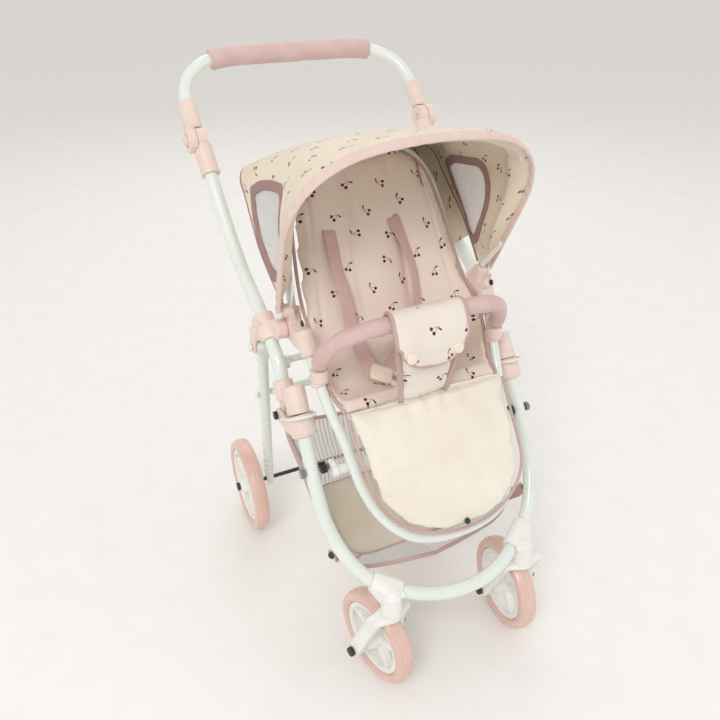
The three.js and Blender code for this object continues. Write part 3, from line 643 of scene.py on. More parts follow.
# ---- frame tubes, grips and wires ----
def build_tubes():
    finish(tube("front_tube_smooth", smooth_line(mirror_x(FRONT_HALF), 150), 8, 28),
           PAINT, "front_frame", ["front_tube"])
    finish(tube("handle_tube_smooth", smooth_line(mirror_x(HANDLE_HALF), 120), 8, 28),
           PAINT, "handle", ["handle_tube"])
    finish(tube("seat_leg_tube_smooth", smooth_line(mirror_x(LEG_LOOP_HALF), 120), 6, 24),
           PAINT, "seat", ["seat_leg_tube"])
    finish(tube("seat_back_tube_smooth", smooth_line(mirror_x(BACK_LOOP_HALF), 110), 5, 24),
           PAINT, "seat", ["seat_back_tube"])
    for side, tag in ((1, "R"), (-1, "L")):
        line = smooth_line([(x * side, y, z) for x, y, z in PUSH], 80)
        finish(tube(f"push_tube_smooth_{tag}", line, 8, 28), PAINT, "push_frame",
               [f"push_tube_{tag}"])
        wire = smooth_line([(x * side, y, z) for x, y, z in LOCK_WIRE], 60)
        finish(tube(f"lock_wire_smooth_{tag}", wire, 1.7, 14), PAINT, f"lock_wire_{tag}",
               [f"lock_wire_{tag}"])
    grip = smooth_line([(-114, 320, 648.5), (-96, 324, 651), (-60, 325.5, 652), (0, 326, 652),
                        (60, 325.5, 652), (96, 324, 651), (114, 320, 648.5)], 90)
    worn = lambda s: 12.8 + 0.25 * math.sin(23 * s) * math.sin(7 * s + 1)
    finish(tube("handle_grip_foam", grip, worn, 36, ends=4), FOAM, "handle",
                     ["handle_grip"])
    bar = smooth_line(mirror_x(BUMPER_HALF), 120)
    finish(tube("bumper_foam", bar, 9.5, 32, ends=3), FOAM, "seat",
                     ["bumper_bar"])


# ---- wheels ----
def lathe(name, profile, axis_at, turn_z=0.0, about=(0, 0), sides=120):
    """A closed profile of (radius, x) turned about X, then swivelled about a vertical line."""
    x0, y0, z0 = axis_at
    verts, faces, uvs = [], [], []
    n = len(profile)
    c, s = math.cos(math.radians(turn_z)), math.sin(math.radians(turn_z))
    girth = [0.0]
    for a, b in zip(profile, profile[1:]):
        girth.append(girth[-1] + math.hypot(b[0] - a[0], b[1] - a[1]))
    for i in range(sides):
        a = 2 * math.pi * i / sides
        for k, (r, x) in enumerate(profile):
            p = (x0 + x - about[0], y0 + r * math.cos(a) - about[1], z0 + r * math.sin(a))
            verts.append(Vector((about[0] + c * p[0] - s * p[1], about[1] + s * p[0] + c * p[1], p[2])))
            uvs.append((girth[k] * MM, a * profile[0][0] * MM))
    for i in range(sides):
        j = (i + 1) % sides
        for k in range(n):
            q = (k + 1) % n
            faces.append((i * n + k, i * n + q, j * n + q, j * n + k))
    return new_object(name, verts, faces, uvs)


def tyre_profile(radius, inner):
    """Half-round tread with a moulded centre seam and a shoulder line on each side."""
    outer = []
    for i in range(33):
        t = -1 + 2 * i / 32
        r = radius - 2.6 * abs(t) ** 2.6
        if abs(t) < 0.05:
            r -= 0.55
        if 0.60 < abs(t) < 0.68:
            r -= 0.6
        outer.append((r, t * 9.6))
    wall = [(radius - 4.4, 10.6), (radius - 7, 11), (inner + 3.5, 11), (inner + 2.2, 10.4), (inner, 9.6)]
    return outer + wall + [(r, -x) for r, x in reversed(wall)]


def build_wheels():
    for side, tag in ((1, "R"), (-1, "L")):
        hub = (side * CASTER["x"], CASTER["y"] + CASTER["trail"], 60)
        about = (side * CASTER["x"], CASTER["y"])
        front = lathe(f"front_tyre_smooth_{tag}", tyre_profile(60, 47), hub, CASTER["steer"][tag], about)
        finish(front, TYRE, f"front_wheel_{tag}", [f"front_tyre_{tag}"])
        rear = lathe(f"rear_tyre_smooth_{tag}", tyre_profile(70, 56),
                     (side * REAR_AXLE[0], REAR_AXLE[1], REAR_AXLE[2]))
        finish(rear, TYRE, f"rear_wheel_{tag}", [f"rear_tyre_{tag}"])


# ---- CAD pieces that keep their shape ----
def carry(node, material, voxel=0.8, passes=4):
    """A CAD piece in its own place: a better material and softened moulded edges."""
    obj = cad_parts[node]
    for slot in obj.material_slots:
        slot.link = "OBJECT"
        slot.material = material
    if voxel:
        modifier(obj, "REMESH", mode="VOXEL", voxel_size=voxel * MM, use_smooth_shade=True)
        modifier(obj, "SMOOTH", factor=0.5, iterations=passes)
    else:
        modifier(obj, "BEVEL", width=0.35 * MM, segments=2, angle_limit=math.radians(40))


def build_carried():
    pairs = {
        "fold_lower": (PINK, 0.8), "fold_upper": (PINK, 0.8), "push_bracket": (PINK, 0.8),
        "knuckle_lower": (PINK, 0.8), "knuckle_upper": (PINK, 0.8), "knuckle_button": (PINK, 0.5),
        "seat_hub": (PINK, 0.8), "bumper_socket": (PINK, 0.8), "caster_bracket": (WHITE, 0.7),
        "fork": (WHITE, 0.8), "front_rim": (WHITE, 0.9), "rear_rim": (WHITE, 1.0),
        "rear_leg": (PAINT, 0.9), "fold_bolt": (BLACK, 0), "torsion_spring": (BLACK, 0),
        "side_bolt": (STEEL, 0), "front_axle": (BLACK, 0)}
    for stem, (material, voxel) in pairs.items():
        for tag in "RL":
            carry(f"{stem}_{tag}", material, voxel)
    for node, material in (("cross_bar", WHITE), ("upper_cross_bar", PAINT), ("leg_cross_bar", PAINT)):
        carry(node, material, 0.8)
    carry("rear_axle", BLACK, 0)
    carry("canopy_bow", WHITE, 0.7)


# ---- canopy ----
def arch_line(degrees, count=150):
    """Evenly spaced (x, r) round the arch at that angle, left to right."""
    a = min(FRONT_BOW, max(REAR_EDGE, degrees))
    t = (FRONT_BOW - a) / (FRONT_BOW - REAR_EDGE)
    to_front, to_rear = math.sin(math.radians(FRONT_BOW - a)), math.sin(math.radians(a - REAR_EDGE))
    span = math.sin(math.radians(FRONT_BOW - REAR_EDGE))
    half = [(FRONT_ARCH[0][0] + (REAR_ARCH[0][0] - FRONT_ARCH[0][0]) * t, 0)]
    for (fx, fr), (rx, rr) in zip(FRONT_ARCH[1:], REAR_ARCH[1:]):
        both = fr * to_front + rr * to_rear
        chord = fr * rr * span / both
        half.append((fx + (rx - fx) * fr * to_front / both, chord + HOOD_BULGE * (fr + (rr - fr) * t - chord)))
    full = [(-x, r, 0) for x, r in half] + [(x, r, 0) for x, r in reversed(half[:-1])]
    return smooth_line(full, count)


def hood_point(x, r, degrees, out=0.0):
    """A point on the hood: the arch pulled in between the bows, and out off the surface."""
    t = min(1.0, max(0.0, (FRONT_BOW - degrees) / (FRONT_BOW - REAR_EDGE)))
    a = math.radians(degrees)
    side = smoothstep(60, 125, abs(x)) * smoothstep(8, 60, r) * (1 - smoothstep(150, 182, r))
    top = smoothstep(150, 195, r)
    slack = math.sin(math.pi * min(1, t * 1.02)) ** 0.8
    pull = 13.5 * side * slack
    fall = 0.6 * top * slack * math.sin(0.06 * x + 9 * t)
    if abs(x) > 1e-6:
        x -= math.copysign(pull - out * side, x)
    r += out * (1 - side) - fall
    r += 0.7 * noise.noise(Vector((x * 0.03, degrees * 0.05, 2.0))) * (slack + 0.2)
    return Vector((x, PIVOT[0] + r * math.cos(a), PIVOT[1] + r * math.sin(a)))


# Window outline in the side view: (y, z), clockwise from the rear top corner.
WINDOW = [(122, 541), (104, 552), (80, 559), (52, 564), (30, 566), (22, 556), (20, 540), (20, 520),
          (23, 500), (28, 480), (35, 464), (44, 456), (54, 458), (66, 469), (84, 488), (98, 504),
          (110, 520)]


def window_edge(scale):
    cy = sum(p[0] for p in WINDOW) / len(WINDOW)
    cz = sum(p[1] for p in WINDOW) / len(WINDOW)
    pts = [Vector((cy + (y - cy) * scale, cz + (z - cz) * scale, 0)) for y, z in WINDOW]
    line = smooth_line(pts + [pts[0]], 90)[:-1]
    return line


def inside(poly, y, z):
    hit = False
    for a, b in zip(poly, poly[1:] + poly[:1]):
        if (a.y > z) != (b.y > z) and y < (b.x - a.x) * (z - a.y) / (b.y - a.y) + a.x:
            hit = not hit
    return hit


ARCH_CACHE = {}


def side_point(y, z, sign, out=0.0):
    """The hood's side surface at that place in the side view."""
    degrees = math.degrees(math.atan2(z - PIVOT[1], y - PIVOT[0]))
    r = math.hypot(z - PIVOT[1], y - PIVOT[0])
    key = round(degrees, 1)
    if key not in ARCH_CACHE:
        line = arch_line(key, 150)[:60]
        ARCH_CACHE[key] = ([q.y for q in line], [abs(q.x) for q in line])
    rs, xs = ARCH_CACHE[key]
    p = hood_point(sign * float(np.interp(r, rs, xs)), r, degrees, out)
    return p


def blend_with_bow(cloth):
    """Bakes the cloth's placement into its mesh, leaving it at the identity transform."""
    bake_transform(cloth)


def build_hood():
    angles = list(np.linspace(REAR_EDGE - 1, FRONT_BOW + 2.5, 60))
    rows = []
    for a in angles:
        rows.append([hood_point(q.x, q.y, a, 0.8) for q in arch_line(a, 200)[2:-2]])
    cut = window_edge(0.9)

    def solid(r, c):
        p = (rows[r][c] + rows[r + 1][c + 1]) / 2
        return not (abs(p.x) > 95 and inside(cut, p.y, p.z))
    hood = grid("canopy_fabric", rows, thick=1.3, levels=0, keep=solid)
    finish(hood, PRINT_HOOD, None, ["canopy_rear", "canopy_front"])
    blend_with_bow(hood)
    build_windows()
    build_hood_trim()
    build_hood_back()


def build_windows():
    outer, inner = window_edge(1.0), window_edge(0.80)
    for sign, tag in ((1, "R"), (-1, "L")):
        # knitted border, a closed band on both faces of the side panel
        rows = [[side_point(p.x + (q.x - p.x) * k / 4, p.y + (q.y - p.y) * k / 4, sign,
                            1.0 if 0 < k < 4 else 0.5) for k in range(5)]
                for p, q in zip(outer + outer[:1], inner + inner[:1])]
        band = grid(f"canopy_window_border_{tag}", rows, thick=3.0, levels=1)
        finish(band, BORDER, None)
        blend_with_bow(band)
        # the net itself
        c = sum(inner, Vector()) / len(inner)
        rows = []
        for k in range(9):
            ring = [c.lerp(p, 0.02 + 1.0 * k / 8) for p in inner + inner[:1]]
            rows.append([side_point(p.x, p.y, sign, 0.4 - 2.5 * (1 - k / 8)) for p in ring])
        uvs = [[(p.y * MM, p.z * MM) for p in row] for row in rows]
        net = grid(f"canopy_window_net_{tag}", rows, uvs=uvs, levels=0)
        finish(net, NET_WHITE, None)
        blend_with_bow(net)


def build_hood_trim():
    """Front casing with its gathered hem, the binding round the edges and the two stays."""
    front = [hood_point(q.x, q.y, FRONT_BOW + 3.2, 0.8) for q in arch_line(FRONT_BOW + 3.2, 260)]
    mid = [hood_point(q.x, q.y, FRONT_BOW + 0.5, 0.8) for q in arch_line(FRONT_BOW + 0.5, 260)]
    center = Vector((0, PIVOT[0] - 60, PIVOT[1] + 90))
    normals = []
    for i, (p, t) in enumerate(zip(front, tangents(front))):
        forward = (p - mid[i]).normalized()
        normals.append(t.cross(forward).normalized())
        if normals[-1].dot(p - center) < 0:
            normals[-1].negate()
    line = [p.lerp(q, 0.35) for p, q in zip(front, mid)]
    count = len(line)

    def ring(share):
        gather = 0.8 * math.sin(share * count * 0.95) * (1 if 0.2 < share < 0.8 else 0.3)
        w, t = 6.4, 2.3 + gather
        return [(-w, -0.6), (-w * 0.8, -t * 0.8), (-w * 0.3, -t), (w * 0.3, -t), (w * 0.8, -t * 0.8),
                (w, -0.6), (w, 0.6), (w * 0.8, t * 0.8), (w * 0.3, t), (-w * 0.3, t), (-w * 0.8, t * 0.8),
                (-w, 0.6)]
    hem = section_sweep("canopy_front_hem", line, ring, normals=normals)
    modifier(hem, "SUBSURF", levels=1, render_levels=1)
    finish(hem, HEM, "canopy")
    for tag, part in (("L", front[:86]), ("R", front[-86:])):
        swell = (lambda s: 0.6 + 1.9 * (1 - s)) if tag == "L" else (lambda s: 0.6 + 1.9 * s)
        finish(tube(f"canopy_front_piping_{tag}", part, swell, 10), BINDING_DARK, "canopy")
    # inner casing that holds the bow
    case = []
    for a in np.linspace(FRONT_BOW - 8, FRONT_BOW + 2.4, 8):
        k = max(0.0, math.sin(math.pi * (a - FRONT_BOW + 8) / 10.4))
        case.append([hood_point(q.x, q.y, a, -0.6 - 11.5 * k ** 0.5) for q in arch_line(a, 120)[4:-4]])
    inner = grid("canopy_bow_casing", case, thick=1.0, levels=1)
    finish(inner, PRINT_HOOD, "canopy")
    # rear edge binding
    rear = [hood_point(q.x, q.y, REAR_EDGE - 1, 0.8) for q in arch_line(REAR_EDGE - 1, 160)[3:-3]]
    finish(tube("canopy_rear_piping", rear, 1.8, 10), BINDING_DARK, "seat")
    # flat white stays from the hubs up into the hood's front corners
    for sign, tag in ((1, "R"), (-1, "L")):
        pts = [(sign * 124.5, 20, 437), (sign * 126, 8, 452), (sign * 128, -4, 468), (sign * 129, -10, 478)]
        stay = tape(f"canopy_stay_{tag}", smooth_line(pts, 20), [Vector((sign, 0, 0))] * 21, 6.5, 1.6)
        finish(stay, WHITE, "canopy")


def build_hood_back():
    """The hood's rear panel, from its rear edge down to the top of the back tube."""
    rear = [hood_point(q.x, q.y, REAR_EDGE - 1, 0.6) for q in arch_line(REAR_EDGE - 1, 100)]
    loop = smooth_line(mirror_x(BACK_LOOP_HALF), 100)
    rows = []
    for k in range(11):
        t = k / 10
        row = []
        for i in range(8, 93):
            p, q = rear[i], loop[i] + Vector((0, 5.5, 2.5))
            low = 8 * math.sin(math.pi * t) * smoothstep(0, 0.3, min(i, 100 - i) / 100)
            row.append(p.lerp(q, t) + Vector((0, low * 0.6, -low * 0.5)))
        rows.append(row)
    back = grid("canopy_back_panel", rows, thick=1.2, levels=1)
    finish(back, PRINT_HOOD, "seat")


# ---- seat ----
D_BACK, N_BACK = (0.466, 0.885), (-0.885, 0.466)     # along and out of the backrest, in (y, z)


def back_point(s, off):
    return (46 + D_BACK[0] * s + N_BACK[0] * off, 409 + D_BACK[1] * s + N_BACK[1] * off)


# Bucket rows from the top of the back to the seat front:
# centre (y, z), flat half width, outer edge (x, y, z).
def bucket_rows():
    outer = {176: (52, 118, 566), 168: (66, 112, 559), 155: (80, 104, 548), 140: (87, 97, 535),
             120: (93, 88, 517), 95: (98, 76, 494), 70: (101, 63, 470), 45: (104, 49, 448),
             20: (106, 34, 428), 0: (107, 21, 418), -20: (107.5, 9, 410), -38: (107.5, -2, 402)}
    half = {176: 22, 168: 46, 155: 60, 140: 69, 120: 74, 95: 78, 70: 80, 45: 82, 20: 84, 0: 86,
            -20: 87, -38: 88}
    rows = [(back_point(s, 17 if s < 160 else 17 - 0.3 * (s - 160)), half[s], outer[s]) for s in outer]
    rows += [((4, 373), 89, (107.5, -10, 394)), ((-2, 358), 89, (107, -18, 384)),
             ((-9, 346), 89, (106, -26, 372)), ((-19, 339), 90, (104.5, -34, 361)),
             ((-32, 336), 90, (103, -42, 351)), ((-46, 337), 91, (101.5, -50, 345)),
             ((-58, 341), 92, (100, -58, 343)), ((-66, 343), 91, (98.5, -65, 341)),
             ((-72, 341), 90, (97.5, -70, 337))]
    return rows


def build_seat():
    rows = bucket_rows()
    across = [-1, -0.985, -0.96, -0.92, -0.87, -0.82, -0.76, -0.68, -0.58, -0.46, -0.34, -0.22, -0.1]
    across = across + [0] + [-a for a in reversed(across)]
    # the flat, its half width and the outer edge keep in step: all are sampled by row number
    step = np.linspace(0, len(rows) - 1, 61)
    index = np.arange(len(rows))
    py = np.interp(step, index, [r[0][0] for r in rows])
    pz = np.interp(step, index, [r[0][1] for r in rows])
    hw = np.interp(step, index, [r[1] for r in rows])
    ex, ey, ez = (np.interp(step, index, [r[2][k] for r in rows]) for k in range(3))
    box = np.array([0.2, 0.6, 0.2])
    for a in (py, pz, hw, ex, ey, ez):
        for _ in range(2):
            a[1:-1] = box[0] * a[:-2] + box[1] * a[1:-1] + box[2] * a[2:]
    surface = []
    for i in range(61):
        flat = Vector((hw[i], py[i], pz[i]))
        edge = Vector((ex[i], ey[i], ez[i]))
        corner = Vector((ex[i] - 3, py[i] * 0.72 + ey[i] * 0.28, pz[i] * 0.72 + ez[i] * 0.28))
        row = []
        for u in across:
            w = abs(u)
            if w <= 0.76:
                p = Vector((flat.x * w / 0.76, flat.y, flat.z))
            else:
                t = (w - 0.76) / 0.24
                p = flat * (1 - t) ** 2 + corner * 2 * t * (1 - t) + edge * t * t
            row.append(Vector((math.copysign(p.x, u) if u else 0, p.y, p.z)))
        surface.append(row)
    R, C = len(surface), len(surface[0])

    def half_thick(r, c):
        t = min(c, C - 1 - c) / 5
        e = min(r, R - 1 - r) / 3
        return 1.5 + 2.2 * min(1, t) * min(1, e)
    liner = closed_pad("seat_liner_pad", surface, half_thick, half_thick)
    puff(liner, 4.0, 3.5, 3.5)

    def soft(x, y, z, n):
        s = (y - 46) * D_BACK[0] + (z - 409) * D_BACK[1]
        up = smoothstep(-30, 10, s) * (1 - smoothstep(150, 170, s))
        front = max(0.0, n.y * N_BACK[0] + n.z * N_BACK[1])
        groove = sum(math.exp(-((x - c - 0.02 * (s - 60)) / 5.0) ** 2) for c in (-31, 31))
        seam = math.exp(-((abs(x) - (86 - 0.09 * max(0, s))) / 2.2) ** 2)
        h = -3.4 * groove * up * front - 2.2 * seam * up * front
        pan = smoothstep(0, -30, y) * (1 - smoothstep(352, 372, z))
        h += pan * 1.6 * noise.noise(Vector((x * 0.035, y * 0.05, 4.0)))
        ripple = noise.noise(Vector((x * 0.028, s * 0.012, 7.0))) * 2.2
        wing = smoothstep(86, 100, abs(x))
        fold = math.sin(s * 0.16 + x * 0.03) * 0.9 * wing
        return h + ripple * (0.5 + 0.5 * wing) + fold
    displace(liner, soft)

    def cloth_uv(x, y, z):
        s = (y - 46) * D_BACK[0] + (z - 409) * D_BACK[1]
        if z < 352 and y < 6:
            return x, y - 40
        return x, s
    set_uv(liner, cloth_uv)
    finish(liner, PRINT, "seat", ["seat_liner"])
    # piping all round the liner's outer edge
    for sign, tag in ((1, "R"), (-1, "L")):
        line = smooth_line([(sign * ex[i], ey[i], ez[i]) for i in range(1, 60, 2)], 130)
        finish(tube(f"liner_piping_{tag}", line, 2.1, 12, ends=3), BINDING, "seat")
        seam = []
        for s in range(4, 160, 6):
            x = 86 - 0.09 * s
            y, z = back_point(s, 19.5)
            seam.append((sign * x, y, z))
        finish(tube(f"liner_seam_{tag}", smooth_line(seam, 70), 0.7, 8), BINDING_DARK, "seat")
    top = smooth_line(mirror_x([(52, 118, 566), (30, 121.5, 570), (0, 122.5, 571.5)]), 40)
    finish(tube("liner_top_piping", top, 2.1, 12), BINDING, "seat")


# ---- foot panel ----
FOOT_TOP, FOOT_LOW = (-70, 333), (-168, 220)
FOOT_LEN = math.hypot(FOOT_LOW[0] - FOOT_TOP[0], FOOT_LOW[1] - FOOT_TOP[1])
FOOT_DIR = ((FOOT_LOW[0] - FOOT_TOP[0]) / FOOT_LEN, (FOOT_LOW[1] - FOOT_TOP[1]) / FOOT_LEN)
FOOT_N = (-0.755, 0.656)


def foot_point(x, s, off):
    return Vector((x, FOOT_TOP[0] + FOOT_DIR[0] * s * FOOT_LEN + FOOT_N[0] * off,
                   FOOT_TOP[1] + FOOT_DIR[1] * s * FOOT_LEN + FOOT_N[1] * off))


def foot_half(s):
    if s < 0.5:
        return 100 - 10 * s
    return 95 * math.sqrt(max(0.0004, 1 - ((s - 0.5) / 0.5) ** 2.2))


def build_foot_panel():
    shares = [-0.04, 0.0, 0.05, 0.12, 0.2, 0.3, 0.4, 0.5, 0.58, 0.66, 0.74, 0.8, 0.86,
              0.91, 0.95, 0.98, 0.995]
    cols = [-1 + 2 * i / 28 for i in range(29)]
    rows = []
    for s in shares:
        w = foot_half(max(0, s)) - 1.5
        rows.append([foot_point(u * w, s, 10.5) for u in cols])

    def thick(r, c):
        u = abs(cols[c])
        s = max(0.0, shares[r])
        edge = min(1, (1 - u) / 0.16) ** 0.6 if u < 1 else 0
        end = min(1, (1 - s) / 0.14) ** 0.6
        return 1.6 + 2.4 * edge * end
    pad = closed_pad("foot_panel_pad", rows, thick, lambda r, c: 1.6)
    puff(pad, 3.6, 4.0, 3.5)

    def soft(x, y, z, n):
        s = ((y - FOOT_TOP[0]) * FOOT_DIR[0] + (z - FOOT_TOP[1]) * FOOT_DIR[1]) / FOOT_LEN
        face = max(0.0, n.y * FOOT_N[0] + n.z * FOOT_N[1])
        gather = math.sin(x * 0.21 + 2 * math.sin(x * 0.05)) * (1 - smoothstep(0.0, 0.22, s)) * 2.0
        crease = 3.2 * noise.noise(Vector((x * 0.018 + 3, s * 3.2, 1.0)))
        crease += 1.7 * noise.noise(Vector((x * 0.05, s * 7.0, 5.0)))
        fold = -1.8 * math.exp(-((s - 0.47 - 0.0006 * x) / 0.03) ** 2)
        return face * (gather + crease + fold)
    displace(pad, soft)
    set_uv(pad, lambda x, y, z: (x, (y - FOOT_TOP[0]) * FOOT_DIR[0] + (z - FOOT_TOP[1]) * FOOT_DIR[1]))
    finish(pad, PLAIN, "seat", ["foot_panel"])
    outline = [foot_point(foot_half(max(0, s)), s, 10.5) for s in
               [0.0, 0.12, 0.25, 0.38, 0.5, 0.6, 0.7, 0.78, 0.85, 0.905, 0.945, 0.975, 0.99]]
    line = [Vector((-p.x, p.y, p.z)) for p in outline] + [foot_point(0, 1.0, 10.5)]
    line += list(reversed(outline))
    finish(tube("foot_panel_piping", smooth_line(line, 220), 1.7, 12), BINDING, "seat")
    # gathered top hem, a soft roll over the seat front
    hem = [foot_point(x, -0.02, 13.2 + 0.9 * math.sin(x * 0.24)) for x in range(-96, 97, 4)]
    finish(tube("foot_panel_top_seam", smooth_line(hem, 180), 1.3, 10), PLAIN, "seat")
    snap = foot_point(0, 0.955, 14.5)
    stud("foot_snap", snap, Vector((0, FOOT_N[0], FOOT_N[1])), 3.4, 1.8, BLACK, "seat")


def stud(name, at, normal, radius, height, material, body):
    """A round snap with a domed face and a pressed ring."""
    normal = normal.normalized()
    side = normal.orthogonal().normalized()
    up = normal.cross(side)
    profile = [(0.0, height), (0.35, height * 0.98), (0.55, height * 0.86), (0.66, height * 0.92),
               (0.8, height * 0.9), (0.93, height * 0.66), (1.0, height * 0.25), (1.0, -0.6)]
    verts, faces = [], []
    n = 28
    for r, h in profile[1:]:
        for k in range(n):
            a = 2 * math.pi * k / n
            around = side * (radius * r * math.cos(a)) + up * (radius * r * math.sin(a))
            verts.append(at + around + normal * h)
    top = len(verts)
    verts.append(at + normal * height)
    for q in range(len(profile) - 2):
        for k in range(n):
            j = (k + 1) % n
            faces.append((q * n + k, q * n + j, (q + 1) * n + j, (q + 1) * n + k))
    faces += [(top, k, (k + 1) % n) for k in range(n)]
    last = (len(profile) - 2) * n
    faces.append(tuple(last + k for k in reversed(range(n))))
    return finish(new_object(name, verts, faces), material, body)


# ---- crotch panel and its flap over the bumper ----
def build_crotch():
    shape = [(-86.5, 434, 37), (-87.5, 424, 38), (-87, 412, 37), (-86, 395, 35), (-83.5, 378, 32.5),
             (-81, 362, 29.5), (-79, 350, 28), (-78, 345, 27.5)]
    cols = [-1 + 2 * i / 16 for i in range(17)]
    line = smooth_line([(y, z, h) for y, z, h in shape], 26)
    rows = [[Vector((u * q.z - CROTCH_SHIFT, q.x - 0.8 * (1 - u * u), q.y)) for u in cols] for q in line]
    R, C = len(rows), len(cols)
    body = lambda r, c: 1.4 + 1.9 * min(1, min(c, C - 1 - c) / 3) * min(1, (min(r, R - 1 - r) + 0.5) / 3)
    panel = closed_pad("crotch_panel_pad", rows, body, body)
    puff(panel, 3.0, 2.5, 3.0)
    displace(panel, lambda x, y, z, n: 0.9 * noise.noise(Vector((x * 0.06, z * 0.05, 3.0)))
             + 0.5 * math.sin(z * 0.12 + x * 0.08))
    set_uv(panel, lambda x, y, z: (x + 12, z))
    finish(panel, PRINT_FLAP, "seat", ["crotch_panel"])
    for sign, tag in ((1, "R"), (-1, "L")):
        pts = [Vector((sign * (q.z + 0.6) - CROTCH_SHIFT, q.x - 1.2, q.y)) for q in line]
        normals = [Vector((sign * 0.25, -1, 0.1)).normalized()] * len(pts)
        finish(tape(f"crotch_binding_{tag}", pts, normals, 5.4, 3.4), BINDING, "seat")
    build_flap()


def build_flap():
    """The flap goes up behind the bumper, over it and down the front to its two snaps."""
    c, r = (-77, 444), 11.6
    path = [(-63, 424), (-64, 434), (-65.8, 443)]
    for a in range(10, 171, 16):
        t = math.radians(a)
        path.append((c[0] + r * math.cos(t), c[1] + r * math.sin(t)))
    path += [(-91.6, 440), (-95.4, 430), (-98, 418), (-99, 406), (-98.6, 398)]
    line = smooth_line([(y, z, 0) for y, z in path], 54)
    cols = [-1 + 2 * i / 30 for i in range(31)]
    rows = []
    total = len(line) - 1
    for i, q in enumerate(line):
        s = i / total
        drop = smoothstep(0.70, 1.0, s)
        row = []
        for u in cols:
            half = 41 + 1.5 * math.sin(math.pi * s)
            # the lower corners are round: pull the end rows up towards the sides
            x = u * half * (1 - 0.10 * drop)
            lift = 17 * drop * abs(u) ** 3.2
            bow = 2.6 * (1 - u * u) * smoothstep(0.45, 0.8, s)
            curve = 2.4 * (abs(x) / 63) ** 2          # the bumper bends back towards its ends
            row.append(Vector((x - CROTCH_SHIFT, q.x - bow + curve, q.y + lift)))
        rows.append(row)
    R, C = len(rows), len(cols)

    def th(r, c):
        return 0.9 + 0.9 * min(1, min(c, C - 1 - c) / 3) * min(1, (min(r, R - 1 - r) + 1) / 3)
    flap = closed_pad("crotch_flap", rows, th, lambda r, c: 0.9)
    modifier(flap, "SUBSURF", levels=2, render_levels=2)
    apply_modifiers(flap)
    displace(flap, lambda x, y, z, n: 0.8 * noise.noise(Vector((x * 0.07, z * 0.07, y * 0.07)))
             + 0.55 * math.sin(x * 0.16 + z * 0.05) * smoothstep(440, 415, z))
    set_uv(flap, lambda x, y, z: (x + 30, z if y < -77 else 900 - z))
    finish(flap, PRINT_FLAP, "seat")
    edge = [rows[i][0] for i in range(total + 1)] + [rows[total][j] for j in range(1, C - 1)]
    edge += [rows[i][C - 1] for i in range(total, -1, -1)]
    border = smooth_line(edge[::2], 260)
    finish(tube("crotch_flap_piping", border, 2.0, 12), BINDING, "seat")
    for x, tag in ((-36, "L"), (20, "R")):
        stud(f"flap_snap_{tag}", Vector((x, -101.4, 412)), Vector((0, -0.98, 0.14)), 6.2, 2.4,
             CREAM_PLASTIC, "seat")


# ---- harness ----
def build_straps():
    """Two shoulder straps with a buckle bar, and the short strap between the legs."""
    def back(x, s, off):
        y, z = back_point(s, off)
        return Vector((x, y, z))
    routes = {
        "L": [back(-58, 92, 22), back(-58, 84, 25), back(-58.5, 62, 28), back(-59, 38, 31), back(-58, 12, 36),
              Vector((-56, 4, 399)), Vector((-54, -12, 384)), Vector((-52, -28, 371)),
              Vector((-50, -40, 362))],
        "R": [back(25, 92, 22), back(26, 84, 25), back(30, 62, 29), back(33, 40, 33), back(32, 14, 37),
              Vector((27, 4, 398)), Vector((14, -6, 384)), Vector((-4, -18, 372)), Vector((-24, -32, 364)),
              Vector((-36, -42, 358))],
    }
    for tag, route in routes.items():
        line = smooth_line(route, 80)
        normals = []
        for i, t in enumerate(tangents(line)):
            share = i / 80
            lean = (0.35 * math.sin(share * 5.2)) if tag == "L" else (0.75 * math.sin(share * 4.6))
            n = Vector((lean, N_BACK[0], N_BACK[1] + 0.25 * share))
            normals.append((n - t * n.dot(t)).normalized())
        finish(tape(f"harness_strap_{tag}", line, normals, 16.5, 1.7), STRAP, "seat")
    # stitched patches where the straps come out of the back
    for x, tag in ((-58, "L"), (25, "R")):
        rows = [[back(x + u * 10, 92 + v * 3.4, 19.2) for u in (-1, -0.6, 0, 0.6, 1)]
                for v in (-1, -0.4, 0.4, 1)]
        finish(grid(f"harness_slot_{tag}", rows, thick=1.6), BINDING, "seat")
    build_buckle()


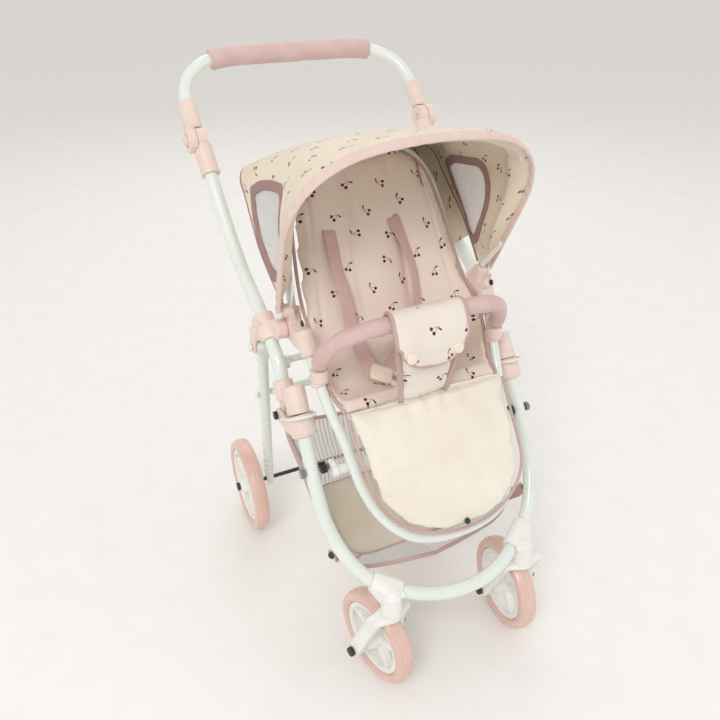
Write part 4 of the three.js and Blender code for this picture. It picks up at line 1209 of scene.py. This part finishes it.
def build_buckle():
    """Side-release buckle lying on the seat, with the webbing loop in front of it."""
    at, along = Vector((-40, -40, 355)), Vector((0.86, -0.28, -0.42)).normalized()
    normal = Vector((0.1, -0.55, 0.82))
    normal = (normal - along * normal.dot(along)).normalized()
    side = along.cross(normal)

    def block(name, shape, height, lift, material):
        verts, faces, n = [], [], len(shape)
        for h in (lift - height, lift + height):
            verts += [at + along * p + side * q + normal * h for p, q in shape]
        faces = [tuple(reversed(range(n))), tuple(range(n, 2 * n))]
        faces += [(k, (k + 1) % n, n + (k + 1) % n, n + k) for k in range(n)]
        obj = new_object(name, verts, faces)
        modifier(obj, "BEVEL", width=0.9 * MM, segments=3, limit_method="ANGLE", angle_limit=0.6)
        return finish(obj, material, "seat")
    body = [(-15, -9), (6, -9.5), (9, -8), (9, 8), (6, 9.5), (-15, 9), (-17, 6), (-17, -6)]
    block("buckle_body", body, 2.6, 6.0, CREAM_PLASTIC)
    for sign, tag in ((1, "R"), (-1, "L")):
        prong = [(7, 3.6 * sign), (20, 3.6 * sign), (25, 5.2 * sign), (24, 9.4 * sign), (15, 10.2 * sign),
                 (10, 8.6 * sign)]
        prong = prong if sign > 0 else list(reversed(prong))
        block(f"buckle_prong_{tag}", prong, 2.0, 6.0, CREAM_PLASTIC)
    block("buckle_bar", [(19, -8), (29, -8.5), (31, -6), (31, 6), (29, 8.5), (19, 8)], 2.4, 6.0,
          CREAM_PLASTIC)
    pts = [Vector((-10, -52, 352)), Vector((-6, -60, 352)), Vector((-4, -68, 350)), Vector((-6, -75, 352)),
           Vector((-7, -77, 358))]
    line = smooth_line(pts, 30)
    finish(tape("harness_crotch_strap", line, [Vector((0.1, -0.3, 0.95)).normalized()] * 31, 14.5, 1.7),
           STRAP, "seat")


# ---- basket ----
RIM_HALF = [(0, -118, 127), (60, -112, 131), (100, -104, 136), (118, -92, 143), (124, -42, 170),
            (125, 14, 200), (124, 73, 226), (112, 92, 224), (60, 97, 214), (0, 98, 210)]
FLOOR_HALF = [(0, -74, 108), (45, -73, 108), (76, -70, 108), (92, -60, 108), (98, -30, 108),
              (98, 15, 108), (97, 58, 108), (88, 76, 108), (50, 82, 108), (0, 83, 108)]


def ring_of(half, count):
    full = [Vector(p) for p in half] + [Vector((-x, y, z)) for x, y, z in reversed(half[1:-1])]
    return smooth_line(full + [full[0]], count)[:-1]


def build_basket():
    n = 216
    rim, low = ring_of(RIM_HALF, n), ring_of(FLOOR_HALF, n)
    rows = []
    for k in range(15):
        t = k / 14
        row = []
        for p, q in zip(rim, low):
            m = p.lerp(q, t)
            out = Vector((q.x, q.y - 4, 0)).normalized()
            bulge = 4.5 * math.sin(math.pi * t) ** 0.8
            wave = 1.6 * noise.noise(Vector((p.x * 0.03, p.y * 0.03, t * 1.6))) * math.sin(math.pi * t)
            round_in = 5.0 * smoothstep(0.82, 1.0, t) ** 2
            row.append(m + out * (-bulge * 0.4 + wave - 1.5) + out * (-round_in)
                       + Vector((0, 0, 1.2 - 1.4 * math.sin(math.pi * t))))
        row.append(row[0])
        rows.append(row)

    def wall(name, keep, material, thick, area, flat):
        uvs = []
        for row in rows:
            dist, line = 0.0, []
            for a, b in zip(row, row[1:] + [row[-1]]):
                line.append(dist * MM)
                dist += (b - a).length
            uvs.append(line)
        drop = 0.0
        for r in range(len(uvs)):
            if r:
                drop += (rows[r][n // 4] - rows[r - 1][n // 4]).length
            uvs[r] = [(u, drop * MM) for u in uvs[r]]
        obj = grid(name, rows, uvs=uvs, thick=thick, levels=0, keep=keep)
        finish(obj, material, "front_frame")

    def where(c):
        p = low[c % n]
        if p.y < -66 and abs(p.x) < 84:
            return "front"
        if p.y > 70 and abs(p.x) < 92:
            return "rear"
        return "side"
    wall("basket_net_front", lambda r, c: where(c) == "front", NET_BASKET, 0, 0.0101, (0.20, 0.06))
    wall("basket_net_rear", lambda r, c: where(c) == "rear", NET_BASKET, 0, 0.0240, (0.21, 0.13))
    wall("basket_sides", lambda r, c: where(c) == "side", FLOOR_CLOTH, 1.3, 0.0290, (0.40, 0.10))
    # floor cloth, sagging a little over its board
    last = rows[-1][:-1]
    c = sum(last, Vector()) / len(last)
    floor_rows = []
    for k in range(10):
        t = k / 9
        ring = []
        for p in last:
            q = p.lerp(c, t)
            q.z = 109.2 - 1.6 * math.sin(math.pi * min(1, t * 1.1) / 2)
            q.z += 0.5 * noise.noise(Vector((q.x * 0.04, q.y * 0.04, 0))) * min(1, 3 * t)
            ring.append(q)
        ring.append(ring[0])
        floor_rows.append(ring)
    floor_rows[-1] = [p.lerp(c, 0.98) for p in floor_rows[-2]]
    floor = grid("basket_floor", floor_rows, thick=1.8, levels=0)
    finish(floor, FLOOR_CLOTH, "front_frame", ["basket"])
    rim_line = rows[0][:-1]
    tube_ring = tube("basket_rim_binding", rim_line, 2.6, 12, closed=True)
    finish(tube_ring, BINDING, "front_frame")
    # corner seams in the same binding
    for c in [k for k in range(n) if where(k) != where(k + 1)]:
        seam = [rows[r][(c + 1) % n] for r in range(len(rows))]
        finish(tube(f"basket_corner_{c}", smooth_line(seam, 30), 1.7, 8), BINDING, "front_frame")
    finish(tube("basket_floor_seam", rows[-1][:-1], 1.5, 8, closed=True), BINDING, "front_frame")
    build_basket_tabs()


def build_basket_tabs():
    """Webbing loops that hang the rim from the front frame, with small black clips."""
    for sign, tag in ((1, "R"), (-1, "L")):
        route = [(sign * 122, -84, 147), (sign * 127, -92, 156), (sign * 131.5, -100, 166),
                 (sign * 133, -104, 174)]
        line = smooth_line(route, 24)
        normals = [Vector((sign * 0.9, -0.35, 0.1)).normalized()] * 25
        finish(tape(f"basket_tab_{tag}", line, normals, 15, 1.6), BINDING, "front_frame")
        at = Vector((sign * 134.2, -103, 172))
        stud(f"basket_clip_{tag}", at, Vector((sign * 0.9, -0.4, 0.1)), 4.2, 2.2, BLACK, "front_frame")


# ---- small hardware ----
def build_hardware():
    for sign, tag in ((1, "R"), (-1, "L")):
        stud(f"bumper_stud_{tag}", Vector((sign * 121, -9, 428)), Vector((sign, 0, 0)), 3.6, 1.4, BLACK,
             "seat")


# ---- floor, lights, camera ----
def build_stage():
    size = 60.0
    mesh = bpy.data.meshes.new("floor")
    mesh.from_pydata([(-size, -size, 0), (size, -size, 0), (size, size, 0), (-size, size, 0)], [],
                     [(0, 1, 2, 3)])
    floor = bpy.data.objects.new("floor", mesh)
    bpy.context.scene.collection.objects.link(floor)
    mesh.materials.append(moulded("floor_paint", "f1efec", "eeece9", rough=0.75))
    for name, place, power, width, look in (
            ("key", (-1.2, -1.3, 2.0), 21, 0.9, (0, 0, 0.35)),
            ("fill", (1.9, -1.0, 1.3), 5, 1.8, (0, 0, 0.3)),
            ("back", (0.6, 1.9, 1.9), 9, 1.4, (0, 0, 0.4))):
        light = bpy.data.lights.new(name, "AREA")
        light.energy, light.size = power, width
        obj = bpy.data.objects.new(name, light)
        obj.location = place
        obj.rotation_euler = (Vector(look) - Vector(place)).to_track_quat("-Z", "Y").to_euler()
        bpy.context.scene.collection.objects.link(obj)
    world = bpy.data.worlds.new("studio")
    world.use_nodes = True
    back = world.node_tree.nodes["Background"]
    back.inputs["Color"].default_value = (1.0, 0.985, 0.97, 1)
    back.inputs["Strength"].default_value = 0.78
    bpy.context.scene.world = world
    bpy.context.scene.view_settings.view_transform = "Standard"


def build_camera():
    az, el, roll = (math.radians(a) for a in (-25.056, 31.318, -0.125))
    back = Vector((math.sin(az) * math.cos(el), -math.cos(az) * math.cos(el), math.sin(el)))
    level = Vector((math.cos(az), math.sin(az), 0))
    upright = back.cross(level)
    right = level * math.cos(roll) + upright * math.sin(roll)
    up = upright * math.cos(roll) - level * math.sin(roll)
    data = bpy.data.cameras.new("camera")
    data.lens, data.sensor_width = 34.18, 36
    data.shift_x, data.shift_y = -0.00917, -0.00767
    cam = bpy.data.objects.new("camera", data)
    turn = Matrix((right, up, back)).transposed().to_4x4()
    cam.matrix_world = Matrix.Translation((-0.3319, -0.6234, 0.7820)) @ turn
    bpy.context.scene.collection.objects.link(cam)
    bpy.context.scene.camera = cam


build_camera()
build_stage()
build_tubes()
build_wheels()
build_carried()
build_hood()
build_seat()
build_foot_panel()
build_crotch()
build_straps()
build_basket()
build_hardware()
